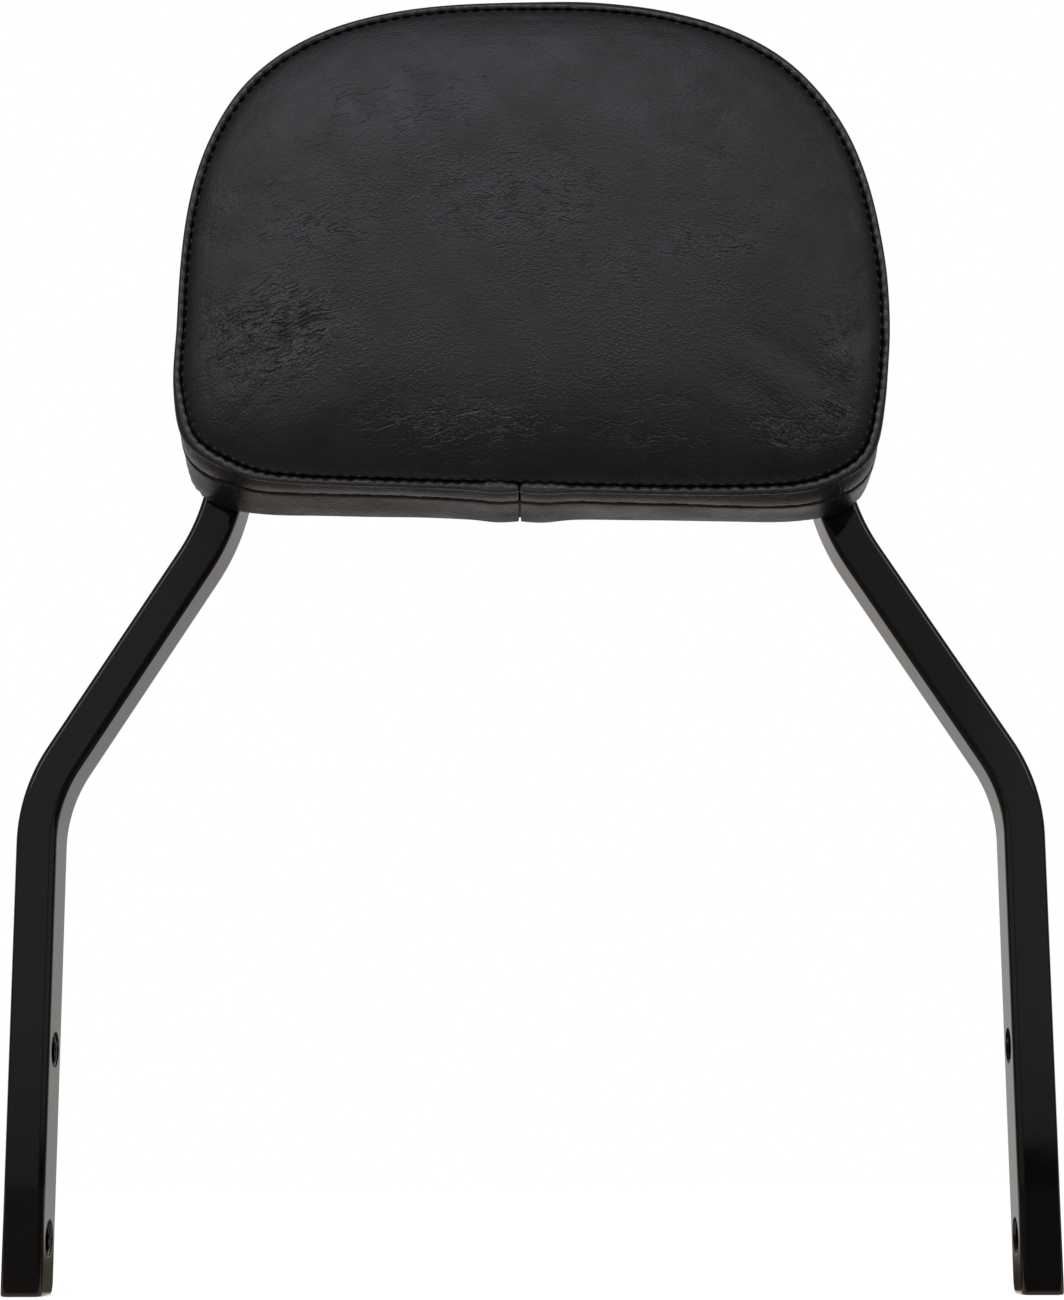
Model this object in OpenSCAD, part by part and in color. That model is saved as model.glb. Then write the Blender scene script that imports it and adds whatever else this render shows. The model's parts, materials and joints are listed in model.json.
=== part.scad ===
// Sissy bar: a bent steel bar with two legs and a hoop, and a padded backrest bolted to the hoop.
// Z is up the legs from their ends, Y runs from the pad's face to the back of the bar.
// X runs across, with the middle of the part at zero.

/* [Bar] */
// Width of the bar, seen from the front
bar_w = 12.7; // [9:0.1:16]
// Depth of the bar, front to back
bar_d = 19.05; // [14:0.05:26]
// Radius along the four edges of the bar
bar_edge_r = 2; // [0.6:0.1:3]
// Clear gap between the two legs
leg_gap = 295; // [270:1:330]
// Height at which the lines of leg and slant cross
leg_bend_z = 152.7; // [130:0.1:190]
// Lean of the slants, from upright (its sine and cosine come out whole at six digits, so runs and bends meet)
slant_angle = 32.3878; // [24:0.0001:40]
// Bend radius between leg and slant, to the middle of the bar
leg_bend_r = 50; // [30:1:80]
// Bend radius between slant and hoop, to the middle of the bar
hoop_bend_r = 68; // [40:1:90]
// Width over the outside of the hoop
hoop_w = 204; // [190:1:220]
// Straight length of each side of the hoop
hoop_side = 50; // [40:1:70]
// Radius of the hoop's two top corners, to the middle of the bar
hoop_corner_r = 50; // [30:1:60]

/* [Leg ends] */
// Rounding of each leg's lower back edge
leg_end_r = 4; // [1:0.5:6]
// Rounding of the other edges of each leg's end
leg_end_break = 0.8; // [0.3:0.1:1.5]

/* [Bolt holes] */
// Major diameter of the thread in the legs
bolt_d = 9.525; // [6:0.005:12]
// Depth of the threaded holes
bolt_depth = 10; // [6:0.5:10.5]
// Height of the lower holes
bolt_low_z = 17.2; // [12:0.1:30]
// Distance between the two holes of a leg
bolt_pitch = 57.15; // [40:0.05:80]
// Depth of the countersink at each hole's mouth
bolt_chamfer = 0.8; // [0.3:0.1:1.5]

/* [Straps] */
// Height of each strap across the hoop
strap_h = 25.4; // [20:0.1:32]
// Thickness of the straps
strap_t = 4.8; // [3:0.1:6.5]
// Height of the lower strap's edge above the start of the hoop's straight sides
strap_rise = 4.4; // [1:0.1:10]
// Distance between the middle lines of the two straps
strap_pitch = 50; // [42:1:58]
// Gap left between strap and bar for the weld
weld_gap = 0.3; // [0.2:0.1:0.8]
// Leg length of the weld beads
weld_leg = 4; // [2.5:0.5:5.5]
// How far a weld's face swells beyond a flat fillet, as a share
weld_swell = 0.15; // [0:0.01:0.3]

/* [Pad] */
// Width of the pad
pad_w = 218.8; // [208:0.2:240]
// Height of the pad
pad_h = 156.2; // [146:0.2:180]
// Depth of the pad from its back to the front rim
pad_depth = 45; // [38:0.5:60]
// How far the face swells beyond the front rim
pad_crown = 10; // [5:0.5:16]
// Height of the pad's widest line above its lower edge
pad_widest = 47.5; // [42:0.5:60]
// Height of the lower screws above the pad's lower edge
pad_hole_rise = 40.8; // [32:0.1:46]
// Squareness of the pad's outline above its widest line, where 2 is an ellipse
top_squareness = 2.75; // [2.2:0.05:3.5]
// Squareness of the pad's outline below its widest line
low_squareness = 6.3; // [4.5:0.1:8]

/* [Cover] */
// Thickness of the vinyl
vinyl_t = 1.2; // [0.8:0.1:1.6]
// Depth of the side band, from the back to the seam round the sides
side_band_w = 24; // [20:0.5:28]
// Depth of the seam groove round the face, below the rim
groove_d = 1.8; // [1:0.1:3]
// How far the bands draw in at the seam round the sides
seam_dip = 0.9; // [0.4:0.1:1.1]
// Length over which each band swells out again beside that seam
seam_swell = 3.5; // [2:0.5:6]
// Sewn-in edge that each panel turns inwards
seam_allowance = 6; // [4:0.5:8]
// Width of the side band's hem, turned over the back of the board
hem_w = 16; // [12:1:22]
// Rounding of the cover's back edge
back_edge_r = 3; // [2:0.5:4]
// Thickness of the trim panel on the back
back_panel_t = 1.2; // [0.8:0.1:1.6]
// Clearance between the layers of the pad
layer_gap = 0.3; // [0.2:0.1:0.5]

/* [Board] */
// Thickness of the backing board
board_t = 9; // [7.5:0.5:12]
// Distance between the screws across the pad
screw_span = 100; // [80:1:120]

/* [Screws] */
// Diameter of the pad screws
screw_d = 6.35; // [5:0.05:7]
// Length of the pad screws under the head
screw_l = 19; // [16.5:0.5:20]
// Diameter of the button heads
head_d = 11.1; // [9.5:0.1:13]
// Height of the button heads
head_h = 3.4; // [2.6:0.1:4]
// Hex socket, across its flats
socket_af = 3.97; // [3:0.01:5]
// Depth of the hex socket
socket_depth = 2.2; // [1.5:0.1:2.4]
// Outer diameter of the flat washers
washer_d = 18.4; // [15:0.1:22]
// Outer diameter of the lock washers
lock_washer_d = 12.4; // [11:0.1:14]
// Thickness of the washers
washer_t = 1.6; // [1:0.1:2]
// Gap where the lock washers are split
lock_split = 1; // [0.6:0.1:1.6]
// Clearance in diameter of the holes that the screws pass through
screw_play = 0.75; // [0.4:0.05:1.2]
// Clearance in diameter of the lock washers' bore
lock_play = 0.3; // [0.2:0.05:0.6]

/* [T-nuts] */
// Diameter of each nut's flange
nut_flange_d = 19; // [16:0.5:24]
// Thickness of each nut's flange
nut_flange_t = 1.5; // [1:0.1:2]
// Outer diameter of each nut's barrel
nut_barrel_d = 8.4; // [8:0.1:10]
// Length of the barrel inside the board
nut_barrel_l = 7; // [5:0.5:7.4]
// Length of the prongs
nut_prong_l = 5; // [3:0.5:6]
// Width of each prong at the flange
nut_prong_w = 4; // [3:0.1:5]
// Thickness of the prongs
nut_prong_t = 1.2; // [0.8:0.1:1.6]

/* [Hidden] */

// Colours
bar_colour = [0.05, 0.05, 0.055];
vinyl_colour = [0.13, 0.13, 0.135];
trim_colour = [0.09, 0.09, 0.09];
board_colour = [0.72, 0.58, 0.4];
foam_colour = [0.86, 0.82, 0.7];
zinc_colour = [0.72, 0.73, 0.75];

// Fineness of the curved faces
corner_steps = 5;
bend_fn = 96;
round_fn = 48;
top_steps = 20;
low_steps = 12;
bead_steps = 4;
roll_steps = 6;
edge_steps = 4;
eps = 0.01;
past = 1;
fit_gap = 0.05;

// Lines of the bent bar, to the middle of its section
leg_x = (leg_gap + bar_w) / 2;
hoop_x = (hoop_w - bar_w) / 2;
hoop_bend_z = leg_bend_z + (leg_x - hoop_x) / tan(slant_angle);
leg_tangent = leg_bend_r * tan(slant_angle / 2);
hoop_tangent = hoop_bend_r * tan(slant_angle / 2);
leg_l = leg_bend_z - leg_tangent;
slant_l = (leg_x - hoop_x) / sin(slant_angle) - leg_tangent - hoop_tangent;
hoop_side_z = hoop_bend_z + hoop_tangent;

// One half of the bar, up from its leg's end to just past the middle of the hoop's top. Each step is a length
// with no angle, or a radius with the angle turned towards the middle.
half_bar_steps = [
    [leg_l, 0], [leg_bend_r, slant_angle], [slant_l, 0], [hoop_bend_r, -slant_angle],
    [hoop_side, 0], [hoop_corner_r, 90], [hoop_x - hoop_corner_r + past, 0]
];
hoop_side_steps = [[hoop_side, 0], [hoop_corner_r, 90]];

// Heights of the straps and of what is bolted to them
low_row_z = hoop_side_z + strap_rise + strap_h / 2;
row_zs = [low_row_z, low_row_z + strap_pitch];
bar_inner_x = hoop_x - bar_w / 2;
strap_reach = bar_inner_x + bar_edge_r / 2;
screw_hole_d = screw_d + screw_play;

// The pad's outline and layers, with depths measured from the front face of the bar
pad_low_z = low_row_z - pad_hole_rise;
pad_widest_z = pad_low_z + pad_widest;
pad_mid_z = pad_low_z + pad_h / 2;
board_back = -max(vinyl_t, back_panel_t);
board_front = board_back - board_t;
seam_y = -side_band_w;
rim_y = -pad_depth;
groove_y = rim_y + groove_d;
fold_t = 2 * vinyl_t + layer_gap;
face_edge = fold_t + layer_gap;
foam_inset = vinyl_t + layer_gap;
face_shoulder = 5;
dome_steps = [0.985, 0.96, 0.925, 0.87, 0.78, 0.62, 0.4, 0.15];

// Stack of the pad screws, going back from the strap
washer_back = strap_t + washer_t;
head_seat = washer_back + washer_t;
nut_bore_d = screw_d + 2 * fit_gap;
prong_margin = 0.5;
prong_tip_w = 1;
prong_ring = nut_flange_d / 2 - nut_prong_t - prong_margin;
head_ball_r = (head_d * head_d / 4 + head_h * head_h) / (2 * head_h);

// Puts the middle of the part's depth at zero
frame_y = (pad_depth + pad_crown - bar_d) / 2;

module placed() {
    translate([0, frame_y, 0]) children();
}

// Section of a bar with rounded edges
function rounded_section(w, d, r) = [
    for (corner = [0:3], k = [0:corner_steps])
        let (
            a = 90 * (corner + k / corner_steps),
            side_x = (corner == 0 || corner == 3) ? 1 : -1,
            side_y = corner < 2 ? 1 : -1
        )
        [side_x * (w / 2 - r) + r * cos(a), side_y * (d / 2 - r) + r * sin(a)]
];

module bar_section(extra = 0) {
    polygon(rounded_section(bar_w + 2 * extra, bar_d + 2 * extra, bar_edge_r + extra));
}

// A weld's fillet between the bar's inner face and the back of a strap
module bead_section() {
    face = [
        for (k = [0:bead_steps])
            let (a = 90 * k / bead_steps, r = weld_leg * (1 + weld_swell * sin(2 * a)) / (cos(a) + sin(a)))
            [-r * cos(a), r * sin(a)]
    ];
    translate([-bar_w / 2, strap_t - bar_d / 2]) polygon(concat([[0, 0]], face));
}

// Sweeps its child, a section round the middle of the bar, along straight and bent steps
module sweep(steps, i = 0) {
    if (i < len(steps)) {
        size = steps[i][0];
        angle = steps[i][1];
        side = angle < 0 ? 1 : -1;
        if (angle == 0) {
            linear_extrude(height = size) children();
            translate([0, 0, size]) sweep(steps, i + 1) children();
        } else {
            translate([side * size, 0, 0]) {
                mirror([side > 0 ? 1 : 0, 0, 0])
                rotate([90, 0, 0])
                rotate_extrude(angle = abs(angle), $fn = bend_fn)
                translate([size, 0, 0]) mirror([side > 0 ? 1 : 0, 0, 0]) children();
                rotate([0, -angle, 0])
                translate([-side * size, 0, 0]) sweep(steps, i + 1) children();
            }
        }
    }
}

// What a rounded edge along X takes away from a square corner at the origin
module edge_waste(r, length) {
    rotate([90, 0, 90])
    linear_extrude(height = length, center = true)
    difference() {
        translate([-eps, -eps]) square([r + eps, r + eps]);
        translate([r, r]) circle(r = r, $fn = round_fn);
    }
}

module leg_end_waste() {
    reach = bar_w + 2 * past;
    translate([0, -bar_d / 2, 0]) edge_waste(leg_end_break, reach);
    translate([0, bar_d / 2, 0]) rotate([0, 0, 180]) edge_waste(leg_end_r, reach);
    for (side = [0, 180])
        rotate([0, 0, side])
        translate([-bar_w / 2, 0, 0])
        rotate([0, 0, -90]) edge_waste(leg_end_break, bar_d + 2 * past);
}

// A threaded hole, opening towards the middle of the part
module bolt_hole() {
    rotate([0, 90, 0]) {
        cylinder(d = bolt_d, h = bolt_depth, $fn = round_fn);
        translate([0, 0, -eps])
        cylinder(d1 = bolt_d + 2 * bolt_chamfer, d2 = bolt_d, h = bolt_chamfer, $fn = round_fn);
    }
}

module bent_bar() {
    color(bar_colour)
    placed()
    translate([0, bar_d / 2, 0])
    for (side = [0, 1])
        mirror([side, 0, 0])
        difference() {
            translate([leg_x, 0, 0]) sweep(half_bar_steps) bar_section();
            translate([leg_x, 0, 0]) leg_end_waste();
            for (rise = [0, bolt_pitch])
                translate([leg_gap / 2, 0, bolt_low_z + rise]) bolt_hole();
        }
}

// Both sides of the hoop, swept with the child section
module hoop_sides() {
    for (side = [0, 1])
        mirror([side, 0, 0])
        translate([hoop_x, bar_d / 2, hoop_side_z]) sweep(hoop_side_steps) children();
}

module screw_places(rows = row_zs) {
    for (x = [-screw_span / 2, screw_span / 2], z = rows)
        translate([x, 0, z]) rotate([-90, 0, 0]) children();
}

// A flat strap whose ends are coped to the hoop
module strap(row_z) {
    color(bar_colour)
    placed()
    difference() {
        translate([-strap_reach, 0, row_z - strap_h / 2]) cube([2 * strap_reach, strap_t, strap_h]);
        hoop_sides() bar_section(weld_gap);
        screw_places([row_z]) translate([0, 0, -past])
        cylinder(d = screw_hole_d, h = strap_t + 2 * past, $fn = round_fn);
    }
}

module lower_strap() {
    strap(row_zs[0]);
}

module upper_strap() {
    strap(row_zs[1]);
}

module weld_beads() {
    color(bar_colour)
    placed()
    intersection() {
        hoop_sides() bead_section();
        for (row_z = row_zs)
            translate([-hoop_w / 2, 0, row_z - strap_h / 2]) cube([hoop_w, bar_d, strap_h]);
    }
}

// One point of the pad's outline, at a turn of t round it, moved inwards by inset
function outline_point(t, inset) =
    let (
        upper = t < 180,
        power = 2 / (upper ? top_squareness : low_squareness),
        half_w = pad_w / 2 - inset,
        half_h = (upper ? pad_h - pad_widest : pad_widest) - inset,
        across = pow(abs(cos(t)), power),
        along = pow(abs(sin(t)), power)
    )
    [sign(cos(t)) * half_w * across, pad_widest_z + (upper ? 1 : -1) * half_h * along];

turns = concat(
    [for (k = [0:2 * top_steps - 1]) 180 * k / (2 * top_steps)],
    [for (k = [0:2 * low_steps - 1]) 180 + 180 * k / (2 * low_steps)]
);
function outline(inset) = [for (t = turns) outline_point(t, inset)];

// A station is an inset, a depth and a share of the full size about the pad's middle
function station_points(station) = [
    for (p = outline(station[0]))
        [station[2] * p[0], station[1], pad_mid_z + station[2] * (p[1] - pad_mid_z)]
];

function strip_faces(a, b, n) = [
    for (i = [0:n - 1])
        let (j = (i + 1) % n)
        each [[a * n + i, b * n + i, b * n + j], [a * n + i, b * n + j, a * n + j]]
];

// A solid through stations that run from its back to its front
module loft(stations) {
    n = len(turns);
    last = len(stations) - 1;
    polyhedron(
        points = [for (s = stations) each station_points(s)],
        faces = concat(
            [[for (i = [0:n - 1]) i]],
            [for (s = [0:last - 1]) each strip_faces(s, s + 1, n)],
            [[for (i = [n - 1:-1:0]) last * n + i]]
        ),
        convexity = 6
    );
}

// A band whose section is the closed loop of stations, out along the outside and back inside
module band(stations) {
    n = len(turns);
    count = len(stations);
    polyhedron(
        points = [for (s = stations) each station_points(s)],
        faces = [for (s = [0:count - 1]) each strip_faces(s, (s + 1) % count, n)],
        convexity = 6
    );
}

// Height of the face above the groove, at a share of the full size
function dome(share) = (pad_crown + groove_d) * pow(1 - pow(share, face_shoulder), 0.5);

// The face's surface, lowered by a distance, from its edge to its middle
function dome_stations(inset, drop) = [
    for (share = dome_steps) [inset, groove_y - dome(share) + drop, share]
];

function reversed(list) = [for (i = [len(list) - 1:-1:0]) list[i]];

module face_panel() {
    fold_y = groove_y + seam_allowance;
    color(vinyl_colour)
    placed()
    loft(concat(
        reversed(dome_stations(face_edge + vinyl_t, vinyl_t)),
        [
            [face_edge + vinyl_t, groove_y, 1],
            [face_edge + vinyl_t, fold_y, 1],
            [face_edge, fold_y, 1],
            [face_edge, groove_y - groove_d / 2, 1]
        ],
        dome_stations(face_edge, 0)
    ));
}

// Stations round part of an ellipse, from one angle to another
function arc_stations(inset, y, inset_r, y_r, from, to, steps) = [
    for (k = [0:steps])
        let (a = from + (to - from) * k / steps)
        [inset + inset_r * cos(a), y + y_r * sin(a), 1]
];

module front_band() {
    roll_r = fold_t / 2;
    roll_y = rim_y + roll_r;
    fold_y = groove_y + seam_allowance;
    flange_end = vinyl_t + seam_allowance;
    color(vinyl_colour)
    placed()
    band(concat(
        [[flange_end, seam_y, 1]],
        arc_stations(seam_dip, seam_y - seam_swell, seam_dip, seam_swell, 90, 180, edge_steps),
        arc_stations(roll_r, roll_y, roll_r, roll_r, 180, 360, roll_steps),
        [[fold_t, fold_y, 1], [fold_t - vinyl_t, fold_y, 1]],
        arc_stations(roll_r, roll_y, roll_r - vinyl_t, roll_r - vinyl_t, 360, 180, 2),
        [[vinyl_t, seam_y - vinyl_t, 1], [flange_end, seam_y - vinyl_t, 1]]
    ));
}

module side_band() {
    inner_r = back_edge_r - vinyl_t;
    flange_end = vinyl_t + seam_allowance;
    color(vinyl_colour)
    placed()
    band(concat(
        [[hem_w, -vinyl_t, 1], [hem_w, 0, 1]],
        arc_stations(back_edge_r, -back_edge_r, back_edge_r, back_edge_r, 90, 180, edge_steps),
        arc_stations(seam_dip, seam_y + seam_swell, seam_dip, seam_swell, 180, 270, edge_steps),
        [[flange_end, seam_y, 1], [flange_end, seam_y + vinyl_t, 1], [vinyl_t, seam_y + vinyl_t, 1]],
        arc_stations(back_edge_r, -back_edge_r, inner_r, inner_r, 180, 90, edge_steps)
    ));
}

module back_panel() {
    color(trim_colour)
    placed()
    difference() {
        rotate([90, 0, 0]) linear_extrude(height = back_panel_t) polygon(outline(hem_w + layer_gap));
        screw_places() translate([0, 0, -back_panel_t - past])
        cylinder(d = screw_hole_d, h = back_panel_t + 2 * past, $fn = round_fn);
    }
}

// One prong of a T-nut, grown all round by play
module prong(play = 0) {
    translate([prong_ring - play, 0, 0])
    rotate([90, 0, 90])
    linear_extrude(height = nut_prong_t + 2 * play)
    polygon([
        [-nut_prong_w / 2 - play, 0], [nut_prong_w / 2 + play, 0],
        [prong_tip_w / 2 + play, nut_prong_l + play], [-prong_tip_w / 2 - play, nut_prong_l + play]
    ]);
}

module prongs(play = 0) {
    for (turn = [45:90:315]) rotate([0, 0, turn]) prong(play);
}

module backing_board() {
    edge = back_edge_r + layer_gap;
    color(board_colour)
    placed()
    difference() {
        loft([
            [foam_inset + edge - vinyl_t, board_back, 1],
            [foam_inset, board_back - edge, 1],
            [foam_inset, board_front, 1]
        ]);
        screw_places() translate([0, 0, board_front]) {
            translate([0, 0, -past])
            cylinder(d = nut_barrel_d + 2 * fit_gap, h = nut_barrel_l + layer_gap + past, $fn = round_fn);
            cylinder(d = screw_hole_d, h = board_t + past, $fn = round_fn);
            prongs(fit_gap);
        }
    }
}

module t_nuts() {
    color(zinc_colour)
    placed()
    screw_places()
    translate([0, 0, board_front])
    difference() {
        union() {
            translate([0, 0, -nut_flange_t]) cylinder(d = nut_flange_d, h = nut_flange_t, $fn = round_fn);
            translate([0, 0, -eps]) cylinder(d = nut_barrel_d, h = nut_barrel_l + eps, $fn = round_fn);
            translate([0, 0, -eps]) prongs();
        }
        translate([0, 0, -nut_flange_t - past])
        cylinder(d = nut_bore_d, h = nut_flange_t + nut_barrel_l + 2 * past, $fn = round_fn);
    }
}

module foam_core() {
    notch = seam_allowance + foam_inset;
    notch_half = vinyl_t + layer_gap;
    step_y = groove_y + seam_allowance + layer_gap;
    face_inset = face_edge + foam_inset;
    tip_depth = max(nut_flange_t, screw_l - head_seat + board_front) + layer_gap;
    color(foam_colour)
    placed()
    difference() {
        loft(concat(
            [
                [foam_inset, board_front, 1],
                [foam_inset, seam_y + notch_half, 1],
                [notch, seam_y + notch_half, 1],
                [notch, seam_y - notch_half, 1],
                [foam_inset, seam_y - notch_half, 1],
                [foam_inset, step_y, 1],
                [face_inset, step_y, 1],
                [face_inset, groove_y, 1]
            ],
            dome_stations(face_inset, foam_inset)
        ));
        screw_places() translate([0, 0, board_front]) {
            translate([0, 0, -nut_flange_t - layer_gap])
            cylinder(d = nut_flange_d + 2 * layer_gap, h = nut_flange_t + layer_gap + past, $fn = round_fn);
            translate([0, 0, -tip_depth - layer_gap])
            cylinder(d = screw_hole_d, h = tip_depth + past, $fn = round_fn);
        }
    }
}

module pad_screws() {
    color(zinc_colour)
    placed()
    screw_places()
    translate([0, 0, head_seat]) {
        translate([0, 0, -screw_l]) cylinder(d = screw_d, h = screw_l + eps, $fn = round_fn);
        difference() {
            intersection() {
                cylinder(d = head_d, h = head_h, $fn = round_fn);
                translate([0, 0, head_h - head_ball_r]) sphere(r = head_ball_r, $fn = round_fn);
            }
            translate([0, 0, head_h - socket_depth])
            cylinder(r = socket_af / 2 / cos(30), h = socket_depth + past, $fn = 6);
        }
    }
}

module lock_washers() {
    color(zinc_colour)
    placed()
    screw_places()
    translate([0, 0, washer_back])
    difference() {
        cylinder(d = lock_washer_d, h = washer_t, $fn = round_fn);
        translate([0, 0, -past]) cylinder(d = screw_d + lock_play, h = washer_t + 2 * past, $fn = round_fn);
        translate([0, -lock_split / 2, -past]) cube([lock_washer_d, lock_split, washer_t + 2 * past]);
    }
}

module flat_washers() {
    color(zinc_colour)
    placed()
    screw_places()
    translate([0, 0, strap_t])
    difference() {
        cylinder(d = washer_d, h = washer_t, $fn = round_fn);
        translate([0, 0, -past]) cylinder(d = screw_hole_d, h = washer_t + 2 * past, $fn = round_fn);
    }
}

bent_bar();
lower_strap();
upper_strap();
weld_beads();
backing_board();
t_nuts();
foam_core();
face_panel();
front_band();
side_band();
back_panel();
pad_screws();
lock_washers();
flat_washers();
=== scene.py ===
"""Looks of a motorbike sissy bar: a gloss black bent bar, welded straps and a sewn vinyl backrest.

Sizes are in millimetres and turned to metres where a mesh is made. +Z runs up the legs, -Y is the side
that the backrest faces, and +X is across.
"""

import json
import logging
import math
from collections.abc import Iterable, Sequence
from dataclasses import dataclass, field
from enum import Enum

import bmesh
import bpy
import numpy as np
from mathutils import Matrix, Vector
from mathutils.kdtree import KDTree

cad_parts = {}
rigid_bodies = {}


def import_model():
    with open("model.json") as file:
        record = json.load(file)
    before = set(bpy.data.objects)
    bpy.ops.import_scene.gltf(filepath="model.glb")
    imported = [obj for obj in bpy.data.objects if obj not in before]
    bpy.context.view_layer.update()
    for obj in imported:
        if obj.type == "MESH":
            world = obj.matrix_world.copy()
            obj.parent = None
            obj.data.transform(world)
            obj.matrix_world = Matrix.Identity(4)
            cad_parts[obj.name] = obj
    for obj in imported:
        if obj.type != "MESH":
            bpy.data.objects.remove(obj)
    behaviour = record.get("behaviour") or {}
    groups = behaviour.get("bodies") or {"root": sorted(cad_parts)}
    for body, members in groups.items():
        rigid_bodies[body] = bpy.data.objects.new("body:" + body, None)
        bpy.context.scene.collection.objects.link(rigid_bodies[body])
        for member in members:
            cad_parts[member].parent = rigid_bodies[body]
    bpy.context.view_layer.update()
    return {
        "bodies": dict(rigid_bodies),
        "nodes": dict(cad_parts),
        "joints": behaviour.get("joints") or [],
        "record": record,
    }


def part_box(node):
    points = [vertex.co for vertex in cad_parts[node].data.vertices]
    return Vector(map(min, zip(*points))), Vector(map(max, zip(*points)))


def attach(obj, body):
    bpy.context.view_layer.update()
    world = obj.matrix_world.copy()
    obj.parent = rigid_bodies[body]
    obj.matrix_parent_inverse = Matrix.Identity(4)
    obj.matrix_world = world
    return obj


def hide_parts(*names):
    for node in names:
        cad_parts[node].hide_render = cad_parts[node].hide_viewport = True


LOG = logging.getLogger("sissy_bar")
Node = bpy.types.Node
Socket = bpy.types.NodeSocket
Piece = bpy.types.Object
Material = bpy.types.Material
MM = 0.001
RIDES_ON = "root"
SCREW_HEAD = 11.1
SCREW_BORE = 7.1
BORE_SIDES = 40
PAST = 1.0
SHARP_DEGREES = 40.0
WHITE = (1.0, 1.0, 1.0, 1.0)


class Slot(Enum):
    """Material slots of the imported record."""

    BAR = "bar_paint"
    STRAP = "strap_paint"
    VINYL = "vinyl"
    TRIM = "back_trim"
    BOARD = "board_ply"
    FOAM = "foam"
    ZINC = "zinc_hardware"


def linear(hex_colour: str) -> tuple[float, float, float, float]:
    """Turns an sRGB hex colour into linear RGBA.

    Args:
        hex_colour: six hex digits, with or without a leading hash.

    Returns:
        Red, green, blue and alpha for a colour socket.
    """
    digits = hex_colour.lstrip("#")
    parts = [int(digits[k : k + 2], 16) / 255 for k in (0, 2, 4)]
    low, split = 12.92, 0.04045
    values = [p / low if p <= split else ((p + 0.055) / 1.055) ** 2.4 for p in parts]
    return values[0], values[1], values[2], 1.0


class Graph:
    """A node tree with short calls for making and joining nodes."""

    def __init__(self, tree: bpy.types.NodeTree) -> None:
        """Empties the tree and keeps it."""
        self.tree = tree
        tree.nodes.clear()

    def add(self, kind: str, sockets: dict | None = None, **settings: object) -> Node:
        """Adds one node.

        Args:
            kind: the node's type name.
            sockets: value or output for each input, by name or number.
            settings: the node's own properties.

        Returns:
            The new node.
        """
        node = self.tree.nodes.new(kind)
        for name, value in settings.items():
            setattr(node, name, value)
        for key, value in (sockets or {}).items():
            self.feed(node.inputs[key], value)
        return node

    def feed(self, socket: Socket, value: object) -> None:
        """Sets an input to a number or colour, or links an output to it."""
        if isinstance(value, Socket):
            self.tree.links.new(value, socket)
        else:
            socket.default_value = value

    def math(self, operation: str, *values: object, clamp: bool = False) -> Socket:
        """Adds a Math node and returns its output."""
        node = self.add("ShaderNodeMath", dict(enumerate(values)), operation=operation)
        node.use_clamp = clamp
        return node.outputs[0]

    def times(self, first: object, *others: object) -> Socket:
        """Multiplies values, one after another."""
        for value in others:
            first = self.math("MULTIPLY", first, value)
        return first

    def most(self, first: object, *others: object) -> Socket:
        """Takes the largest of some values."""
        for value in others:
            first = self.math("MAXIMUM", first, value)
        return first

    def plus(self, first: object, second: object) -> Socket:
        """Adds two values."""
        return self.math("ADD", first, second)

    def minus(self, first: object, second: object) -> Socket:
        """Takes the second value from the first."""
        return self.math("SUBTRACT", first, second)

    def axis(self, vector: Socket, name: str) -> Socket:
        """One of a vector's three parts."""
        return self.add("ShaderNodeSeparateXYZ", {0: vector}).outputs[name]

    def vector(self, operation: str, *values: object) -> Socket:
        """Adds a Vector Math node and returns its vector output."""
        node = self.add("ShaderNodeVectorMath", operation=operation)
        for k, value in enumerate(values):
            key = "Scale" if operation == "SCALE" and k == 1 else k
            self.feed(node.inputs[key], value)
        return node.outputs[0]

    def ramp(self, value: object, low: float, high: float, start: float = 0.0, end: float = 1.0) -> Socket:
        """Maps low..high smoothly to start..end and returns the result."""
        sockets = {"Value": value, "From Min": low, "From Max": high, "To Min": start, "To Max": end}
        return self.add("ShaderNodeMapRange", sockets, interpolation_type="SMOOTHSTEP").outputs["Result"]

    def mix(self, share: object, first: object, second: object) -> Socket:
        """Mixes two colours and returns the result."""
        node = self.add("ShaderNodeMix", data_type="RGBA")
        for socket, value in zip((node.inputs[0], node.inputs[6], node.inputs[7]), (share, first, second)):
            self.feed(socket, value)
        return node.outputs[2]

    def millimetres(self) -> Socket:
        """Object coordinates in millimetres."""
        coordinates = self.add("ShaderNodeTexCoord").outputs["Object"]
        return self.vector("SCALE", coordinates, 1 / MM)

    def stretched(self, vector: Socket, across: float, deep: float, high: float) -> Socket:
        """Divides a vector by one length for each axis."""
        return self.vector("MULTIPLY", vector, (1 / across, 1 / deep, 1 / high))

    def noise(
        self, vector: object, size: float, detail: float = 2.0, roughness: float = 0.5, colour: bool = False
    ) -> Socket:
        """Noise whose blobs are about size millimetres wide."""
        sockets = {"Vector": vector, "Scale": 1 / size, "Detail": detail, "Roughness": roughness}
        return self.add("ShaderNodeTexNoise", sockets).outputs["Color" if colour else "Fac"]

    def cells(self, vector: object, size: float, feature: str = "F1", randomness: float = 1.0) -> Socket:
        """Voronoi distance for cells about size millimetres wide."""
        sockets = {"Vector": vector, "Scale": 1 / size, "Randomness": randomness}
        return self.add("ShaderNodeTexVoronoi", sockets, feature=feature).outputs["Distance"]

    def warped(self, vector: Socket, size: float, reach: float) -> Socket:
        """Shifts a vector by noise of the given size, up to about reach millimetres each way."""
        shift = self.vector("SUBTRACT", self.noise(vector, size, colour=True), (0.5, 0.5, 0.5))
        return self.vector("ADD", vector, self.vector("SCALE", shift, 2 * reach))


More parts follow.
